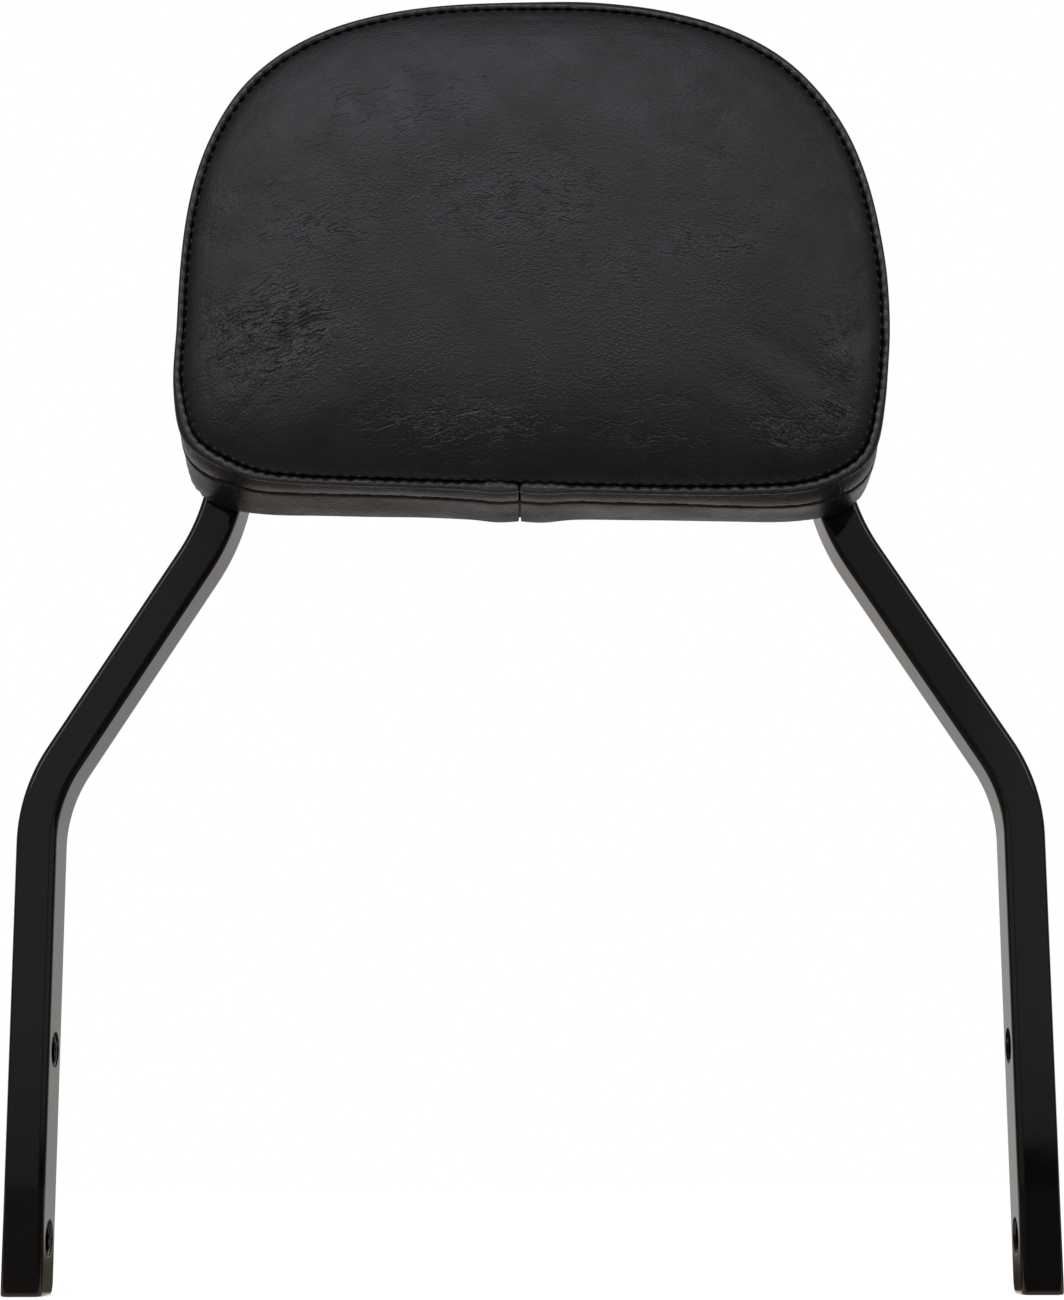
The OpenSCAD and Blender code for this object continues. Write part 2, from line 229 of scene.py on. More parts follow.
@dataclass(frozen=True)
class Finish:
    """A material with its node tree, built once for a part of the object."""

    name: str

    def build(self) -> Material:
        """Makes the material.

        Returns:
            The finished material.
        """
        material = bpy.data.materials.new(self.name)
        material.use_nodes = True
        graph = Graph(material.node_tree)
        shader = graph.add("ShaderNodeBsdfPrincipled")
        output = graph.add("ShaderNodeOutputMaterial")
        graph.feed(output.inputs["Surface"], shader.outputs["BSDF"])
        self.dress(graph, shader)
        return material

    def dress(self, graph: Graph, shader: Node) -> None:
        """Fills the shader's sockets."""
        raise NotImplementedError

    @staticmethod
    def bump(graph: Graph, shader: Node, height: Socket) -> None:
        """Feeds a height in millimetres to the shader's normal."""
        sockets = {"Height": height, "Distance": MM, "Strength": 1.0}
        graph.feed(shader.inputs["Normal"], graph.add("ShaderNodeBump", sockets).outputs["Normal"])


@dataclass(frozen=True)
class GlossCoat(Finish):
    """Gloss black powder coat: glassy, with a faint orange peel and a few dust nibs."""

    colour: str = "#0b0b0c"
    roughness: float = 0.04
    peel_size: float = 4.0
    peel_height: float = 0.0035
    haze_size: float = 24.0
    nib_spacing: float = 11.0
    nib_height: float = 0.02
    refraction: float = 1.46

    def dress(self, graph: Graph, shader: Node) -> None:
        """Black base, glassy top, slow ripple."""
        place = graph.millimetres()
        peel = graph.noise(place, self.peel_size, detail=1.0)
        haze = graph.noise(place, self.haze_size, detail=3.0)
        nibs = graph.ramp(graph.cells(place, self.nib_spacing), 0.035, 0.01)
        shader.inputs["Base Color"].default_value = linear(self.colour)
        shader.inputs["IOR"].default_value = self.refraction
        spread = graph.ramp(haze, 0.3, 0.75, self.roughness * 0.6, self.roughness * 1.6)
        graph.feed(shader.inputs["Roughness"], spread)
        ripple = graph.times(peel, self.peel_height)
        self.bump(graph, shader, graph.plus(ripple, graph.times(nibs, self.nib_height)))


@dataclass(frozen=True)
class CreaseGroup:
    """A patch of the face where the vinyl is creased, in millimetres."""

    x: float
    z: float
    reach_x: float
    reach_z: float
    strength: float


@dataclass(frozen=True)
class Vinyl(Finish):
    """Grained marine vinyl, embossed with pebbles and creased in groups where it is pulled."""

    colour: str = "#161617"
    # Painted shade for the hollows between pebbles and in the creases.
    hollow_shade_colour: str = "#070707"
    worn_colour: str = "#1e1e20"
    # Painted sheen for the creased patches.
    creased_sheen_colour: str = "#252527"
    # Painted glints on the creased patches.
    glint_colour: str = "#5c5c60"
    # Painted highlight for the front of the band by the roll.
    roll_highlight_colour: str = "#3a3a3c"
    roughness: float = 0.43
    pebble: float = 0.8
    pebble_height: float = 0.085
    crease_height: float = 0.24
    crease_length: float = 8.0
    crease_pitch: float = 2.4
    arch: float = 0.0019
    fold_strength: float = 1.5
    swell_height: float = 0.05
    fine_size: float = 0.6
    fine_height: float = 0.06
    cloud_size: float = 40.0
    glint_spacing: float = 1.1
    refraction: float = 1.45
    everywhere: float = 0.12
    # Depth in front of which the band is glossier and carries the painted highlight.
    polish_and_highlight_from: float | None = None
    groups: tuple[CreaseGroup, ...] = ()

    def crease_mask(self, graph: Graph, place: Socket) -> Socket:
        """How strongly the vinyl is creased at each place, from 0 to 1."""
        wander = graph.warped(place, 18.0, 9.0)
        patch = graph.ramp(graph.noise(place, 26.0, detail=3.0), 0.45, 0.7)
        total = graph.most(graph.times(patch, self.everywhere * 3), self.everywhere)
        for group in self.groups:
            offset = graph.vector("SUBTRACT", wander, (group.x, 0.0, group.z))
            scaled = graph.vector("MULTIPLY", offset, (1 / group.reach_x, 0.0, 1 / group.reach_z))
            distance = graph.add("ShaderNodeVectorMath", {0: scaled}, operation="LENGTH").outputs["Value"]
            total = graph.most(total, graph.ramp(distance, 1.15, 0.2, 0.0, group.strength))
        return total

    def arched(self, graph: Graph, place: Socket) -> Socket:
        """Bends the crease lines into wide arches over the middle of the pad."""
        across = graph.axis(place, "X")
        rise = graph.times(across, across, self.arch)
        return graph.vector("ADD", place, graph.add("ShaderNodeCombineXYZ", {"Z": rise}).outputs[0])

    def lines(
        self, graph: Graph, flow: Socket, size: float, flat: float, width: float
    ) -> Socket:
        """Broken wavy lines, 1 in a line and 0 between lines.

        Args:
            graph: where the nodes go.
            flow: the place that the lines follow.
            size: length of a line, as a share of the crease length.
            flat: distance between lines, as a share of the crease pitch.
            width: how much of the noise round its middle counts as line.

        Returns:
            Share of line.
        """
        length = self.crease_length * size
        bent = graph.warped(graph.warped(flow, 30.0, 7.0), 4.0, 0.9)
        level = graph.noise(graph.stretched(bent, length, length, self.crease_pitch * flat), 1.0, detail=1.5)
        apart = graph.math("ABSOLUTE", graph.minus(level, 0.5))
        broken = graph.ramp(graph.noise(flow, 5.5, detail=1.0), 0.44, 0.54)
        return graph.times(graph.ramp(apart, width, 0.0), broken)

    def creases(
        self, graph: Graph, flow: Socket, mask: Socket
    ) -> Socket:
        """Creases, finer ones between them, and long folds where the mask is strong."""
        usual = self.lines(graph, flow, 1.0, 1.0, 0.05)
        small = self.lines(graph, graph.vector("ADD", flow, (31.0, 7.0, 13.0)), 0.5, 0.6, 0.055)
        folds = self.lines(graph, graph.vector("ADD", flow, (57.0, 3.0, 41.0)), 2.2, 1.4, 0.05)
        folds = graph.times(folds, graph.ramp(mask, 0.5, 0.85, 0.0, self.fold_strength))
        return graph.most(graph.times(graph.most(usual, graph.times(small, 0.5)), mask), folds)

    def dress(self, graph: Graph, shader: Node) -> None:
        """Pebbles everywhere, creases where the groups say, and painted shade in the hollows."""
        place = graph.millimetres()
        flow = self.arched(graph, place)
        mask = self.crease_mask(graph, place)
        grain = graph.warped(graph.stretched(flow, 1.5, 1.3, 1.0), 1.6, 0.35)
        pebble = graph.minus(1.0, graph.ramp(graph.cells(grain, self.pebble), 0.05, 0.62))
        crease = self.creases(graph, flow, mask)
        grain_share = graph.ramp(graph.noise(place, 24.0), 0.3, 0.7, 0.35, 1.0)
        height = graph.times(pebble, graph.most(grain_share, graph.times(mask, 1.4)), self.pebble_height)
        fine = graph.noise(place, self.fine_size, detail=2.0)
        height = graph.plus(height, graph.times(fine, self.fine_height))
        height = graph.minus(height, graph.times(crease, self.crease_height))
        swell = graph.noise(graph.stretched(flow, 7.0, 7.0, 2.6), 1.0, detail=2.0)
        self.bump(graph, shader, graph.plus(height, graph.times(swell, mask, self.swell_height)))
        # Hollows between pebbles and along creases: painted shade in the colour, and more roughness.
        low = graph.times(graph.minus(1.0, pebble), 0.3)
        hollow = graph.math("MAXIMUM", low, graph.times(crease, 0.5), clamp=True)
        self.paint(graph, shader, mask, hollow)
        shader.inputs["IOR"].default_value = self.refraction

    def paint(
        self, graph: Graph, shader: Node, mask: Socket, hollow: Socket
    ) -> None:
        """Colour and roughness: cloudy, with painted sheen where creased, painted shade in the hollows and
        painted glints.
        """
        place = graph.millimetres()
        cloud = graph.ramp(graph.noise(place, self.cloud_size, detail=4.0), 0.35, 0.7)
        tone = graph.mix(cloud, linear(self.colour), linear(self.worn_colour))
        # Painted sheen: the creased patches are lightened.
        tone = graph.mix(graph.times(mask, 0.7), tone, linear(self.creased_sheen_colour))
        # Painted shade: the colour darkens in the hollows.
        colour = graph.mix(hollow, tone, linear(self.hollow_shade_colour))
        # Painted glints: small light spots, strongest in the creased patches.
        glints = graph.ramp(graph.cells(graph.warped(place, 3.0, 0.6), self.glint_spacing), 0.26, 0.12)
        glints = graph.times(glints, graph.ramp(mask, 0.25, 0.8, 0.0, 0.4))
        colour = graph.mix(glints, colour, linear(self.glint_colour))
        spread = graph.noise(place, 14.0, detail=3.0)
        rough = graph.ramp(spread, 0.3, 0.75, self.roughness - 0.04, self.roughness + 0.06)
        rough = graph.minus(rough, graph.times(mask, 0.12))
        # In front of that depth the band is less rough, and its colour is lightened as a painted highlight.
        if self.polish_and_highlight_from is not None:
            polish_and_highlight = graph.ramp(graph.axis(place, "Y"), self.polish_and_highlight_from, self.polish_and_highlight_from - 0.8)
            colour = graph.mix(polish_and_highlight, colour, linear(self.roll_highlight_colour))
            rough = graph.minus(rough, graph.times(polish_and_highlight, 0.08))
        graph.feed(shader.inputs["Base Color"], colour)
        graph.feed(shader.inputs["Roughness"], graph.plus(rough, graph.times(hollow, 0.18)))


@dataclass(frozen=True)
class Thread(Finish):
    """Bonded black sewing thread with a twisted ply."""

    colour: str = "#28282a"
    # Painted shade between the ply's ridges.
    shade: str = "#101011"
    ply: float = 0.32
    ridge: float = 0.08

    def dress(self, graph: Graph, shader: Node) -> None:
        """Slanted ridges along the stitch, with painted shade between them."""
        place = graph.millimetres()
        twist = graph.noise(graph.stretched(place, self.ply, self.ply * 2, self.ply), 1.0, detail=1.0)
        # Painted shade: darker between the ridges of the twist.
        graph.feed(shader.inputs["Base Color"], graph.mix(twist, linear(self.shade), linear(self.colour)))
        shader.inputs["Roughness"].default_value = 0.38
        shader.inputs["Sheen Weight"].default_value = 0.2
        self.bump(graph, shader, graph.times(twist, self.ridge))


@dataclass(frozen=True)
class TrimBoard(Finish):
    """Black moulded trim board with an even, fine grain."""

    colour: str = "#1b1b1c"
    light: str = "#262627"
    pit_depth: float = 0.05

    def dress(self, graph: Graph, shader: Node) -> None:
        """Small pits over a dull black."""
        place = graph.millimetres()
        pits = graph.ramp(graph.cells(graph.warped(place, 1.0, 0.2), 0.8), 0.15, 0.6)
        cloud = graph.noise(place, 26.0, detail=4.0)
        graph.feed(shader.inputs["Base Color"], graph.mix(cloud, linear(self.colour), linear(self.light)))
        graph.feed(shader.inputs["Roughness"], graph.ramp(cloud, 0.3, 0.8, 0.48, 0.62))
        self.bump(graph, shader, graph.times(pits, -self.pit_depth))


@dataclass(frozen=True)
class Zinc(Finish):
    """Bright zinc plate with a faint bloom and brushed grain."""

    cool: str = "#b9bcc0"
    warm: str = "#d2cfc4"
    brush_depth: float = 0.012

    def dress(self, graph: Graph, shader: Node) -> None:
        """Cool metal with cloudy roughness."""
        place = graph.millimetres()
        bloom = graph.noise(place, 3.5, detail=5.0, roughness=0.6)
        brush = graph.noise(graph.stretched(place, 2.0, 0.25, 0.12), 1.0, detail=2.0)
        graph.feed(shader.inputs["Base Color"], graph.mix(bloom, linear(self.cool), linear(self.warm)))
        shader.inputs["Metallic"].default_value = 1.0
        graph.feed(shader.inputs["Roughness"], graph.ramp(bloom, 0.3, 0.75, 0.2, 0.42))
        self.bump(graph, shader, graph.times(brush, self.brush_depth))


@dataclass(frozen=True)
class Plywood(Finish):
    """Birch plywood: grained faces and banded edges."""

    ply: float = 1.5
    dark: str = "#c8a273"
    light: str = "#e3c79c"
    glue: str = "#6f4a2b"
    grain_depth: float = 0.12

    def dress(self, graph: Graph, shader: Node) -> None:
        """Bands through the thickness, long grain across the faces."""
        place = graph.millimetres()
        band = graph.math("PINGPONG", graph.axis(place, "Y"), self.ply)
        glue = graph.ramp(band, 0.12, 0.22)
        grain = graph.noise(graph.stretched(graph.warped(place, 30.0, 3.0), 45.0, 2.0, 1.6), 1.0, detail=5.0)
        wood = graph.mix(grain, linear(self.dark), linear(self.light))
        graph.feed(shader.inputs["Base Color"], graph.mix(glue, linear(self.glue), wood))
        shader.inputs["Roughness"].default_value = 0.68
        self.bump(graph, shader, graph.times(grain, self.grain_depth))


@dataclass(frozen=True)
class OpenFoam(Finish):
    """Cut open-cell foam, cream, with pores."""

    dark: str = "#dccfa4"
    light: str = "#eadfba"
    # Painted shade inside the pores.
    pore_shade: str = "#a8976a"
    pore_size: float = 1.1
    pore_depth: float = 0.3

    def dress(self, graph: Graph, shader: Node) -> None:
        """Pores as pits with painted shade in them, and a slow change of tone."""
        place = graph.millimetres()
        pores = graph.ramp(graph.cells(place, self.pore_size), 0.1, 0.55)
        coarse = graph.noise(place, 18.0, detail=3.0)
        body = graph.mix(coarse, linear(self.dark), linear(self.light))
        # Painted shade: the colour darkens in the pores.
        graph.feed(shader.inputs["Base Color"], graph.mix(pores, linear(self.pore_shade), body))
        shader.inputs["Roughness"].default_value = 0.95
        self.bump(graph, shader, graph.times(pores, self.pore_depth))


def add_mesh(name: str, points: np.ndarray, faces: Sequence, material: Material) -> Piece:
    """Makes a smooth-shaded mesh object at the origin.

    Args:
        name: the piece's name.
        points: its corners in millimetres, one row each.
        faces: corner numbers of each face.
        material: its finish.

    Returns:
        The new object, linked to the scene.
    """
    mesh = bpy.data.meshes.new(name)
    mesh.from_pydata((np.asarray(points, float) * MM).tolist(), [], [tuple(map(int, f)) for f in faces])
    mesh.polygons.foreach_set("use_smooth", [True] * len(mesh.polygons))
    mesh.materials.append(material)
    mesh.update()
    piece = bpy.data.objects.new(name, mesh)
    bpy.context.collection.objects.link(piece)
    return piece


def grid_faces(rows: int, columns: int, close_rows: bool, close_columns: bool) -> list[tuple[int, ...]]:
    """Quads over a grid of points stored row by row."""
    down = range(rows if close_rows else rows - 1)
    along = range(columns if close_columns else columns - 1)
    return [
        (
            i * columns + j,
            i * columns + (j + 1) % columns,
            (i + 1) % rows * columns + (j + 1) % columns,
            (i + 1) % rows * columns + j,
        )
        for i in down
        for j in along
    ]


def tube_faces(rows: int, columns: int) -> list[tuple[int, ...]]:
    """Quads along a tube of points stored row by row, with one flat face at each end."""
    last = (rows - 1) * columns
    ends = [tuple(range(columns)), tuple(range(last, last + columns))]
    return grid_faces(rows, columns, False, True) + ends


def turn_outwards(piece: Piece, merge: float = 0.0) -> None:
    """Merges doubles, if asked, and points every face of a closed mesh outwards."""
    shape = bmesh.new()
    shape.from_mesh(piece.data)
    if merge:
        bmesh.ops.remove_doubles(shape, verts=shape.verts, dist=merge * MM)
    bmesh.ops.recalc_face_normals(shape, faces=shape.faces)
    shape.to_mesh(piece.data)
    shape.free()


def add_tube(name: str, rows: Sequence, material: Material) -> Piece:
    """Makes a closed mesh of rows of points in millimetres, joined in turn and closed at both ends."""
    points = np.concatenate([np.asarray(row, float) for row in rows])
    piece = add_mesh(name, points, tube_faces(len(rows), len(rows[0])), material)
    turn_outwards(piece)
    return piece


def points_mm(mesh: bpy.types.Mesh) -> np.ndarray:
    """The places of a mesh's vertices, in millimetres."""
    flat = np.empty(len(mesh.vertices) * 3, np.float32)
    mesh.vertices.foreach_get("co", flat)
    return flat.reshape(-1, 3).astype(float) / MM


def evaluated(piece: Piece) -> Piece:
    """Replaces an object by a plain mesh object of what its modifiers make.

    Args:
        piece: an object with modifiers.

    Returns:
        The plain object, with the same name.
    """
    graph = bpy.context.evaluated_depsgraph_get()
    mesh = bpy.data.meshes.new_from_object(
        piece.evaluated_get(graph), preserve_all_data_layers=True, depsgraph=graph
    )
    name = piece.name
    old = piece.data
    bpy.data.objects.remove(piece)
    if isinstance(old, bpy.types.Mesh) and old.users == 0:
        bpy.data.meshes.remove(old)
    mesh.name = name
    plain = bpy.data.objects.new(name, mesh)
    bpy.context.collection.objects.link(plain)
    return plain


def cut(piece: Piece, tools: Iterable[Piece]) -> Piece:
    """Takes the tools away from a piece and removes them.

    Args:
        piece: a closed mesh.
        tools: closed meshes to cut with.

    Returns:
        The cut piece.
    """
    tools = list(tools)
    for tool in tools:
        knife = piece.modifiers.new("cut", "BOOLEAN")
        knife.operation = "DIFFERENCE"
        knife.solver = "EXACT"
        knife.object = tool
    result = evaluated(piece)
    for tool in tools:
        bpy.data.objects.remove(tool)
    return result


def soften(piece: Piece, sharp_degrees: float, bevel: float = 0.0) -> None:
    """Gives a hard piece crisp faces with soft edges.

    Args:
        piece: the piece.
        sharp_degrees: edges that turn by more than this stay sharp, or are bevelled.
        bevel: width of the bevel in millimetres, or nothing.
    """
    if bevel:
        rounding = piece.modifiers.new("edges", "BEVEL")
        rounding.width = bevel * MM
        rounding.segments = 3
        rounding.limit_method = "ANGLE"
        rounding.angle_limit = math.radians(sharp_degrees)
    else:
        piece.data.set_sharp_from_angle(angle=math.radians(sharp_degrees))
    weights = piece.modifiers.new("normals", "WEIGHTED_NORMAL")
    weights.keep_sharp = True


def settle(piece: Piece, slot: Slot, *nodes: str) -> Piece:
    """Rides a piece on the body and hides the nodes that it stands for."""
    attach(piece, RIDES_ON)
    if nodes:
        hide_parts(*nodes)
    LOG.info("%s: %d faces", piece.name, len(piece.data.polygons))
    return piece


def lathe(name: str, profile: Sequence[tuple[float, float]], material: Material, sides: int) -> Piece:
    """Turns a profile round the Y axis.

    Args:
        name: the piece's name.
        profile: (radius, depth along Y) pairs, closed on themselves or ending on the axis.
        material: its finish.
        sides: number of flats round it.

    Returns:
        The turned piece.
    """
    turns = np.linspace(0, 2 * math.pi, sides, endpoint=False)
    rows = [np.stack([r * np.cos(turns), np.full(sides, y), r * np.sin(turns)], 1) for r, y in profile]
    piece = add_mesh(name, np.concatenate(rows), grid_faces(len(rows), sides, False, True), material)
    turn_outwards(piece, merge=1e-4)
    return piece


def bore_profile(start: float, end: float, radius: float) -> list[tuple[float, float]]:
    """Section of a plain cutter between two depths, with some length to spare at both ends."""
    low, high = start - PAST, end + PAST
    return [(0.0, low), (radius, low), (radius, high), (0.0, high)]


def bored(
    piece: Piece,
    profile: Sequence[tuple[float, float]],
    places: Iterable[tuple[float, float, float]],
    material: Material,
) -> Piece:
    """Takes a turned tool away from a piece at each place.

    Args:
        piece: a closed mesh.
        profile: the tool's (radius, depth) pairs.
        places: where the tool's axis stands, in millimetres.
        material: finish of the walls that it leaves.

    Returns:
        The bored piece.
    """
    tools = []
    for x, _, z in places:
        tool = lathe("bore", profile, material, BORE_SIDES)
        tool.data.transform(Matrix.Translation(Vector((x, 0, z)) * MM))
        tools.append(tool)
    return cut(piece, tools)


def box_mm(node: str) -> tuple[np.ndarray, np.ndarray]:
    """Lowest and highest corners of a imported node, in millimetres."""
    low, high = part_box(node)
    return np.array(low) / MM, np.array(high) / MM


@dataclass
class Station:
    """One cross-section place along the bar, in the plane that the bar is bent in."""

    point: np.ndarray
    outward: np.ndarray


@dataclass
class BentBar:
    """The one-piece bar: two legs, two slants and the hoop."""

    finish: Material
    width: float = 12.7
    edge_radius: float = 2.0
    leg_bend_z: float = 152.7
    slant: float = 32.3878
    leg_bend_radius: float = 50.0
    hoop_bend_radius: float = 68.0
    hoop_width: float = 204.0
    hoop_side: float = 50.0
    hoop_corner_radius: float = 50.0
    end_break: float = 0.8
    end_radius: float = 4.0
    hole_diameter: float = 9.525
    hole_depth: float = 10.0
    hole_low_z: float = 17.2
    hole_pitch: float = 57.15
    countersink: float = 0.8
    mouth_fillet: float = 0.35
    thread_pitch: float = 1.5875
    thread_tooth: float = 0.72
    thread_run_out: float = 1.6
    hole_sides: int = 72
    skim: float = 0.002
    corner_hold: float = 0.12
    corner_segments: int = 8
    bend_step: float = 1.6
    low: np.ndarray = field(init=False)
    high: np.ndarray = field(init=False)

    def __post_init__(self) -> None:
        """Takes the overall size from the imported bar."""
        self.low, self.high = box_mm("bent_bar")
        self.leg_x = self.high[0] - self.width / 2
        self.hoop_x = (self.hoop_width - self.width) / 2
        self.mid_y = (self.low[1] + self.high[1]) / 2
        self.depth = self.high[1] - self.low[1]
        lean = math.radians(self.slant)
        run = (self.leg_x - self.hoop_x) / math.sin(lean)
        leg_tangent = self.leg_bend_radius * math.tan(lean / 2)
        hoop_tangent = self.hoop_bend_radius * math.tan(lean / 2)
        self.leg_length = self.leg_bend_z - leg_tangent
        self.slant_length = run - leg_tangent - hoop_tangent
        self.hoop_side_z = self.leg_bend_z + run * math.cos(lean) + hoop_tangent

    def end_heights(self) -> np.ndarray:
        """Heights of the sections that round a leg's end."""
        back = self.end_radius * (1 - np.cos(np.radians(np.arange(0, 91, 6))))
        front = self.end_break * (1 - np.cos(np.radians(np.arange(0, 91, 15))))
        return np.unique(np.round(np.concatenate([back, front]), 4))

    def half_path(self) -> list[Station]:
        """Stations of the right half, from its leg's end to the middle of the hoop's top."""
        point = np.array([self.leg_x, 0.0])
        heading = 0.0
        path = [Station(point + [0.0, z], np.array([1.0, 0.0])) for z in self.end_heights()]
        half_top = self.hoop_x - self.hoop_corner_radius
        steps = (
            (self.leg_length, 0.0),
            (self.leg_bend_radius, self.slant),
            (self.slant_length, 0.0),
            (self.hoop_bend_radius, -self.slant),
            (self.hoop_side, 0.0),
            (self.hoop_corner_radius, 90.0),
            (half_top, 0.0),
        )
        for size, turn in steps:
            if turn == 0.0:
                point = point + size * np.array([-math.sin(heading), math.cos(heading)])
                path.append(Station(point, self.outward(heading)))
                continue
            side = 1.0 if turn > 0 else -1.0
            centre = point - side * size * self.outward(heading)
            count = max(2, round(abs(turn) / self.bend_step))
            start = heading
            for k in range(1, count + 1):
                heading = start + math.radians(turn) * k / count
                point = centre + side * size * self.outward(heading)
                path.append(Station(point, self.outward(heading)))
        return path

    @staticmethod
    def outward(heading: float) -> np.ndarray:
        """Unit vector away from the middle, for a heading turned towards it from upright."""
        return np.array([math.cos(heading), math.sin(heading)])

    def section(self, height: float) -> np.ndarray:
        """Rounded outline, (outward, depth) pairs, drawn in near a leg's end."""

        def drawn_in(radius: float) -> float:
            """How far a rounded end has drawn in a face at this height."""
            rest = max(0.0, radius - height)
            return radius - math.sqrt(max(0.0, radius**2 - rest**2))

        side = self.width / 2 - drawn_in(self.end_break)
        front = -self.depth / 2 + drawn_in(self.end_break)
        back = self.depth / 2 - drawn_in(self.end_radius)
        r, hold = self.edge_radius, self.corner_hold
        points: list[tuple[float, float]] = []
        corners = ((side - r, back - r), (-side + r, back - r), (-side + r, front + r), (side - r, front + r))
        for quarter, (x, y) in enumerate(corners):
            start = math.pi / 2 * quarter
            first = (math.cos(start), math.sin(start))
            last = (-math.sin(start), math.cos(start))
            points.append((x + r * first[0] - hold * last[0], y + r * first[1] - hold * last[1]))
            for k in range(self.corner_segments + 1):
                a = start + math.pi / 2 * k / self.corner_segments
                points.append((x + r * math.cos(a), y + r * math.sin(a)))
            points.append((x + r * last[0] - hold * first[0], y + r * last[1] - hold * first[1]))
        return np.array(points)

    def hole_cutter(self, side: int, z: float) -> Piece:
        """A cutter for one threaded, countersunk hole in a leg's inner face."""
        bore = self.hole_diameter / 2
        fillet = self.mouth_fillet
        mouth = bore + self.countersink
        start = mouth + fillet * math.tan(math.pi / 8)
        arc = [math.radians(a) for a in range(0, 46, 9)]
        profile = [(0.0, -PAST), (start, -PAST), (start, -self.skim)]
        profile += [(start - fillet * math.sin(a), fillet * (1 - math.cos(a))) for a in arc[1:]]
        profile += [(bore, self.countersink), (bore, self.hole_depth - PAST), (0.0, self.hole_depth)]
        tool = lathe("hole_cutter", profile, self.finish, self.hole_sides)
        turn = Matrix.Rotation(-side * math.pi / 2, 4, "Z")
        place = Vector((side * (self.leg_x - self.width / 2), self.mid_y, z)) * MM
        tool.data.transform(Matrix.Translation(place) @ turn)
        return tool

    def build(self) -> Piece:
        """Sweeps the bar, closes its ends, cuts its holes and settles it.

        Returns:
            The finished bar.
        """
        half = self.half_path()
        mirrored = [Station(s.point * [-1, 1], s.outward * [-1, 1]) for s in reversed(half[:-1])]
        path = half + mirrored
        rows = []
        for station in path:
            outline = self.section(station.point[1])
            across = station.point + outline[:, :1] * station.outward
            depth = self.mid_y + outline[:, 1]
            rows.append(np.stack([across[:, 0], depth, across[:, 1]], 1))
        bar = add_tube("bar", rows, self.finish)
        heights = (self.hole_low_z, self.hole_low_z + self.hole_pitch)
        bar = cut(bar, [self.hole_cutter(side, z) for side in (-1, 1) for z in heights])
        soften(bar, SHARP_DEGREES)
        settle(self.threads(heights), Slot.BAR)
        return settle(bar, Slot.BAR, "bent_bar")

    def threads(self, heights: tuple[float, float]) -> Piece:
        """The tapped thread in each hole, as a ridge along a helix."""
        mouth = self.leg_x - self.width / 2 + self.countersink
        sides = [(side, z) for side in (-1, 1) for z in heights]
        seats = Seats(
            places=np.array([(side * mouth, self.mid_y, z) for side, z in sides]),
            ahead=np.array([(side, 0.0, 0.0) for side, _ in sides]),
            lift=np.array([(0.0, 0.0, 1.0)] * len(sides)),
        )
        length = self.hole_depth - self.countersink - self.thread_run_out
        sizes = {
            "Bore": self.hole_diameter / 2,
            "Pitch": self.thread_pitch,
            "Length": length,
            "Tooth": self.thread_tooth,
        }
        return Repeater(self.finish).helix("leg_hole_threads", seats, sizes)


@dataclass(frozen=True)
class StandOff:
    """How far the hand-sewn cover stands off the drawn outline at one depth.

    The steps are millimetres, evenly spaced round the outline from its lowest middle, to the right first.
    """

    forward: float
    steps: tuple[float, ...]

    def at(self, rounds: np.ndarray) -> np.ndarray:
        """Smooth value at some shares of the way round."""
        steps = np.array(self.steps)
        place = np.mod(rounds, 1.0) * len(steps)
        before = np.floor(place).astype(int)
        t = place - before
        a, b, c, d = (steps[(before + k) % len(steps)] for k in (-1, 0, 1, 2))
        bend = (2 * a - 5 * b + 4 * c - d) * t**2
        return 0.5 * (2 * b + (c - a) * t + bend + (3 * (b - c) + d - a) * t**3)


